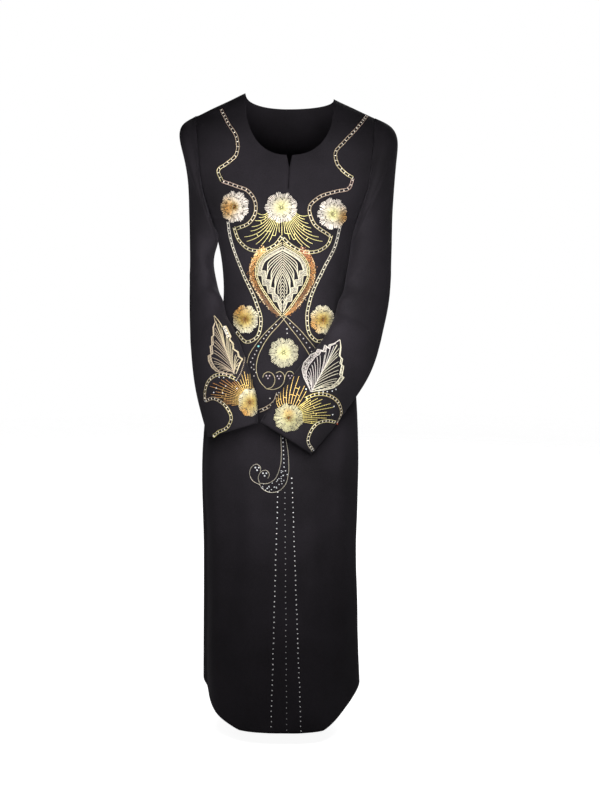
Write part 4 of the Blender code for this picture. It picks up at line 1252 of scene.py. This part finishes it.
# Fans and chains on the cuffs
# Each cuff flower has two fans of bugle beads, brownish to yellow gold. The same double chain as
# on the chest edges them and runs on in a curled tail over the cuff's edge.
BROWN_GOLD = (0.80, 0.54, 0.15)
BRONZE = (0.64, 0.28, 0.06)
YELLOW_GOLD = (0.96, 0.80, 0.24)
CUFF_STRING = 0.0008
CUFF_PITCH = 0.0095
STRINGS_A_TIP = 0.9
# Columns: carrier, centre, rim, angles, bend, first and last colour, tips
CUFF_FANS = (
    ("sleeve_right", (249.8, 402.0), (10.5, 13), (128, 190), 0.42, BROWN_GOLD, BRONZE,
     ((234.5, 381), (231, 380), (227, 379.4), (222.6, 379.4), (218.4, 380.4), (214.8, 382), (211.8, 384),
      (209.8, 386.4), (208.8, 389), (209.2, 391.6), (210.6, 394), (213, 396.2), (216.4, 398.4),
      (220.6, 401), (225, 403.4), (230, 405.6))),
    ("sleeve_right", (249.8, 402.0), (10.5, 13), (124, 66), 0.2, BROWN_GOLD, BROWN_GOLD,
     ((237.4, 381), (239.4, 377.6), (241.6, 374.4), (243.8, 371.4), (245.8, 369.4), (247.8, 371),
      (249.6, 373.8), (251.4, 377), (253, 380.4), (254.4, 384))),
    ("sleeve_left", (288.4, 417.6), (14, 13.5), (132, 54), 0.42, BROWN_GOLD, BROWN_GOLD,
     ((277.4, 396), (279.4, 391.6), (281.6, 387.4), (283.4, 383.4), (287, 381), (290.6, 378.4),
      (294.4, 376), (298, 375), (301, 378.2), (303.4, 382.4), (305, 386.6), (306.4, 390.6))),
    ("sleeve_left", (288.4, 417.6), (14, 13.5), (48, -16), 0.42, YELLOW_GOLD, YELLOW_GOLD,
     ((308.4, 399.4), (312.6, 398.4), (317, 398), (321.4, 398.6), (325.6, 400), (329.2, 402),
      (332.2, 404.4), (334, 407.4), (334, 410.4), (332.4, 413), (330, 415.4), (327, 417.6), (323, 419.6),
      (318.6, 421.6), (313.4, 423.4))),
)
# Columns: carrier, first and last colour, route
CUFF_CHAINS = (
    ("sleeve_right", FAN_GOLD, CUFF_TAN,
     ((235.6, 379), (226, 374.5), (215.7, 375.4), (208.5, 381.5), (205.4, 391), (205.2, 401))),
    ("sleeve_right", CUFF_TAN, FAN_GOLD,
     ((205.5, 401), (213, 398.4), (221, 401.8), (228, 409), (231.3, 418.5), (227.8, 427), (218, 432.5),
      (211.4, 438))),
    ("sleeve_left", YELLOW_GOLD, CUFF_TAN,
     ((304.8, 398.8), (315, 394.6), (328, 395.2), (337.4, 401.5), (341, 412), (336.6, 423.5))),
    ("sleeve_left", FAN_GOLD, SILVER,
     ((335.4, 422), (327, 420.7), (317.5, 423.3), (310.5, 431.5), (308, 442), (313, 450.6))),
    ("front", CUFF_TAN, CUFF_TAN, ((278, 393), (274.5, 401.5), (267, 407.6), (259.2, 411))),
)
LEAF_ROPE = ((244.4, 357.8), (243.4, 365), (241, 372.6), (237.6, 379))
ROPE_BEAD, ROPE_BEADS = 0.0014, 15
CRYSTAL = (0.84, 0.86, 0.88)
END_RED = (0.50, 0.08, 0.03)
RED_BEAD, RED_BEAD_HEIGHT, RED_BEAD_PLACE = 0.0022, 0.001, ((336.3, 423.2),)
CUFF_STONE = 0.0018
CUFF_STONES = {
    "sleeve_right": (
        (205.3, 401.2), (211.5, 437.8), (236.4, 380.4), (229.6, 377.6), (224, 377.5), (219.4, 377.2),
        (223, 393), (216.5, 388), (214, 392.5), (237, 388.5), (226, 386),
    ),
    "sleeve_left": (
        (313.2, 450.2), (318.8, 392.2), (323, 391.9), (327.1, 391.6), (332.1, 391), (335.8, 389.3),
        (333.8, 406.3), (332.5, 414.6), (306, 389),
    ),
}

cuffs = BeadWork(seed=81)
for carrier, centre, rim, angles, bend, first, last, tips in CUFF_FANS:
    cuffs.carrier = carrier
    tips = evenly(tips, int(STRINGS_A_TIP * len(tips)))
    fan(cuffs, centre, rim, angles, bend, tips, first, last, CUFF_STRING)
for carrier, first, last, route in CUFF_CHAINS:
    cuffs.carrier = carrier
    cuffs.chain(route, first, last, pitch=CUFF_PITCH)
for carrier, spots in CUFF_STONES.items():
    cuffs.carrier = carrier
    cuffs.stones_at(spots, CUFF_STONE, CRYSTAL)
cuffs.carrier = "sleeve_left"
cuffs.beads_at(RED_BEAD_PLACE, RED_BEAD, END_RED, RED_BEAD_HEIGHT)
cuffs.carrier = "sleeve_right"
cuffs.beads_at(evenly(LEAF_ROPE, ROPE_BEADS), ROPE_BEAD, CUFF_TAN)
cuffs.sewn("cuff_fans_and_chains", finish=gold_thread)

# Ribbons and scrolls
# From the foot of the medallion two ribbons, each of two fine cords with crystals between, cross
# and sweep down beside the hip flower. One ends in three curls, and one is lost under a sleeve.
FINE_CORD = 0.0006
CORD_GOLD = (0.46, 0.39, 0.22)
TURQUOISE = (0.20, 0.60, 0.58)
CURL_LILAC = (0.42, 0.34, 0.38)
SMOKY = (0.62, 0.58, 0.56)
SMOKY_STONE, TURQUOISE_STONE, TURQUOISE_PLACE = 0.0014, 0.0024, ((258.5, 346.2),)
RIBBON_LINES = (
    ((284, 314), (276, 322), (265, 333), (255.4, 345), (249, 355.5), (246.5, 366)),
    ((287, 315.5), (279, 325), (269.6, 335.5), (261.8, 348), (257.2, 360), (256.6, 372), (260.4, 382),
     (266.6, 388.9)),
    ((280, 314), (288, 325), (297, 336.5), (304.8, 347.4), (310.5, 357)),
    ((277, 315.5), (284, 316), (293, 323), (302, 332), (309.5, 341), (316.5, 350)),
)
CURLS = (
    ((266.6, 388.9), (271.6, 387.2), (274.9, 380), (272.8, 374), (268.3, 371.9), (264.1, 374),
     (262.6, 377.7)),
    ((266.6, 388.9), (274.1, 389.3), (280.7, 386.4), (284.4, 380), (284, 374.8), (279.9, 371.5),
     (275.7, 373.1)),
    ((284.4, 380), (285.7, 374.8), (288.2, 371.5), (291.5, 371.6), (294.4, 375.2)),
)
CURL_ENDS = ((268, 377), (279, 377.3), (290.2, 376.9))
# How far the stones of a small flower lie aside, up and down from its middle, and their radius
LILAC_FLOWER = (1.6, 1.2, 1.3, 0.0017)
RIBBON_STONES = (
    (276, 324.6), (272.1, 328.2), (268.9, 331.9), (266.2, 335.3), (263.8, 338.6), (261, 342.4),
    (256.6, 350.6), (254.8, 354.4), (252.7, 358.2), (250.7, 362), (253.6, 364.5), (251.5, 367.5),
    (254, 369.4), (290, 323.4), (293.6, 327.2), (297, 331), (300.2, 334.6), (303.4, 338.6), (306.4, 342.8),
    (309.6, 347.6), (311.6, 351.6), (287, 329), (287.2, 333.3), (279, 392.6), (270, 398.4), (256, 372.5),
    (254, 376),
)


def three_stones(work, places, colour, aside, up, down, radius):
    """Small flowers of three stones, two above and one below."""
    for column, row in places:
        spots = [(column - aside, row - up), (column + aside, row - up), (column, row + down)]
        work.stones_at(spots, radius, colour)


ribbons = BeadWork(seed=91)
for route in RIBBON_LINES + CURLS:
    ribbons.line(route, FINE_CORD, CORD_GOLD)
ribbons.stones_at(RIBBON_STONES, SMOKY_STONE, SMOKY)
ribbons.stones_at(TURQUOISE_PLACE, TURQUOISE_STONE, TURQUOISE)
three_stones(ribbons, CURL_ENDS, CURL_LILAC, *LILAC_FLOWER)
ribbons.sewn("ribbons_and_curls", finish=gold_thread)

# Skirt scroll and studs
# Under the cuffs one more ribbon hangs down and ends in a double curl over a bowl of strewn
# crystals. Three lines of small crystal studs run on from it to the hem, the middle one fainter.
SCROLL_SILVER = (0.52, 0.48, 0.38)
SCROLL_LINES = (
    ((280.8, 430), (281, 442), (281.4, 455), (279.8, 468), (274.5, 479.4), (267.6, 483.4), (259.4, 483.2)),
    ((259.4, 483.2), (258.3, 477), (261.4, 471.4), (266.5, 470.4), (269.4, 474.5), (267.8, 478.6)),
    ((260.4, 484.7), (253.6, 481.4), (249.7, 474), (251.6, 467), (256.8, 464.2), (260.6, 467.5),
     (260.2, 471.2)),
    ((285.6, 438), (287.4, 448), (288.7, 462), (288.4, 474), (284.4, 486), (277.8, 491.3), (268.6, 492.1),
     (261, 487), (259.4, 483.7)),
)
SCROLL_STONE_LINE = ((282.9, 438.2), (283.8, 459.7), (284.2, 468), (287.2, 474.5))
SCROLL_STONE, SCROLL_STONES = 0.0014, 10
BOWL = ((262, 485.5), (268.5, 488), (275.5, 485.5), (280.5, 480), (284, 472.5))
BOWL_STONE, BOWL_STONES, BOWL_SPREAD = 0.0012, 30, 1.7
CURL_FLOWERS = ((257.1, 468.6), (264.7, 474.2))
CRYSTAL_FLOWER = (1.7, 1.0, 1.6, 0.0020)
STUD_DIM = (0.40, 0.40, 0.40)
STUD_PALE = (0.72, 0.72, 0.72)
STUD_SPREAD = 0.15
# Columns: first and last place, number, radius, colour
STUD_ROWS = (
    ((277.8, 491.9), (271, 727), 46, 0.0015, STUD_PALE),
    ((284.9, 492.3), (286.6, 730), 44, 0.0012, STUD_DIM),
    ((291.8, 478.3), (301, 731), 53, 0.0015, STUD_PALE),
)

scroll = BeadWork(seed=95)
for route in SCROLL_LINES:
    scroll.line(route, FINE_CORD, SCROLL_SILVER)
scroll.stones_at(evenly(SCROLL_STONE_LINE, SCROLL_STONES), SCROLL_STONE, CRYSTAL)
strewn = evenly(BOWL, BOWL_STONES) + scroll.random.normal(0, BOWL_SPREAD, (BOWL_STONES, 2))
scroll.stones_at(strewn, BOWL_STONE, CRYSTAL)
three_stones(scroll, CURL_FLOWERS, CRYSTAL, *CRYSTAL_FLOWER)
scroll.sewn("skirt_scroll", finish=gold_thread)
studs = BeadWork(seed=97)
for first, last, amount, radius, colour in STUD_ROWS:
    spots = evenly((first, last), amount) + studs.random.normal(0, STUD_SPREAD, (amount, 2))
    studs.stones_at(spots, radius, colour)
studs.sewn("skirt_studs", finish=glass_beads)
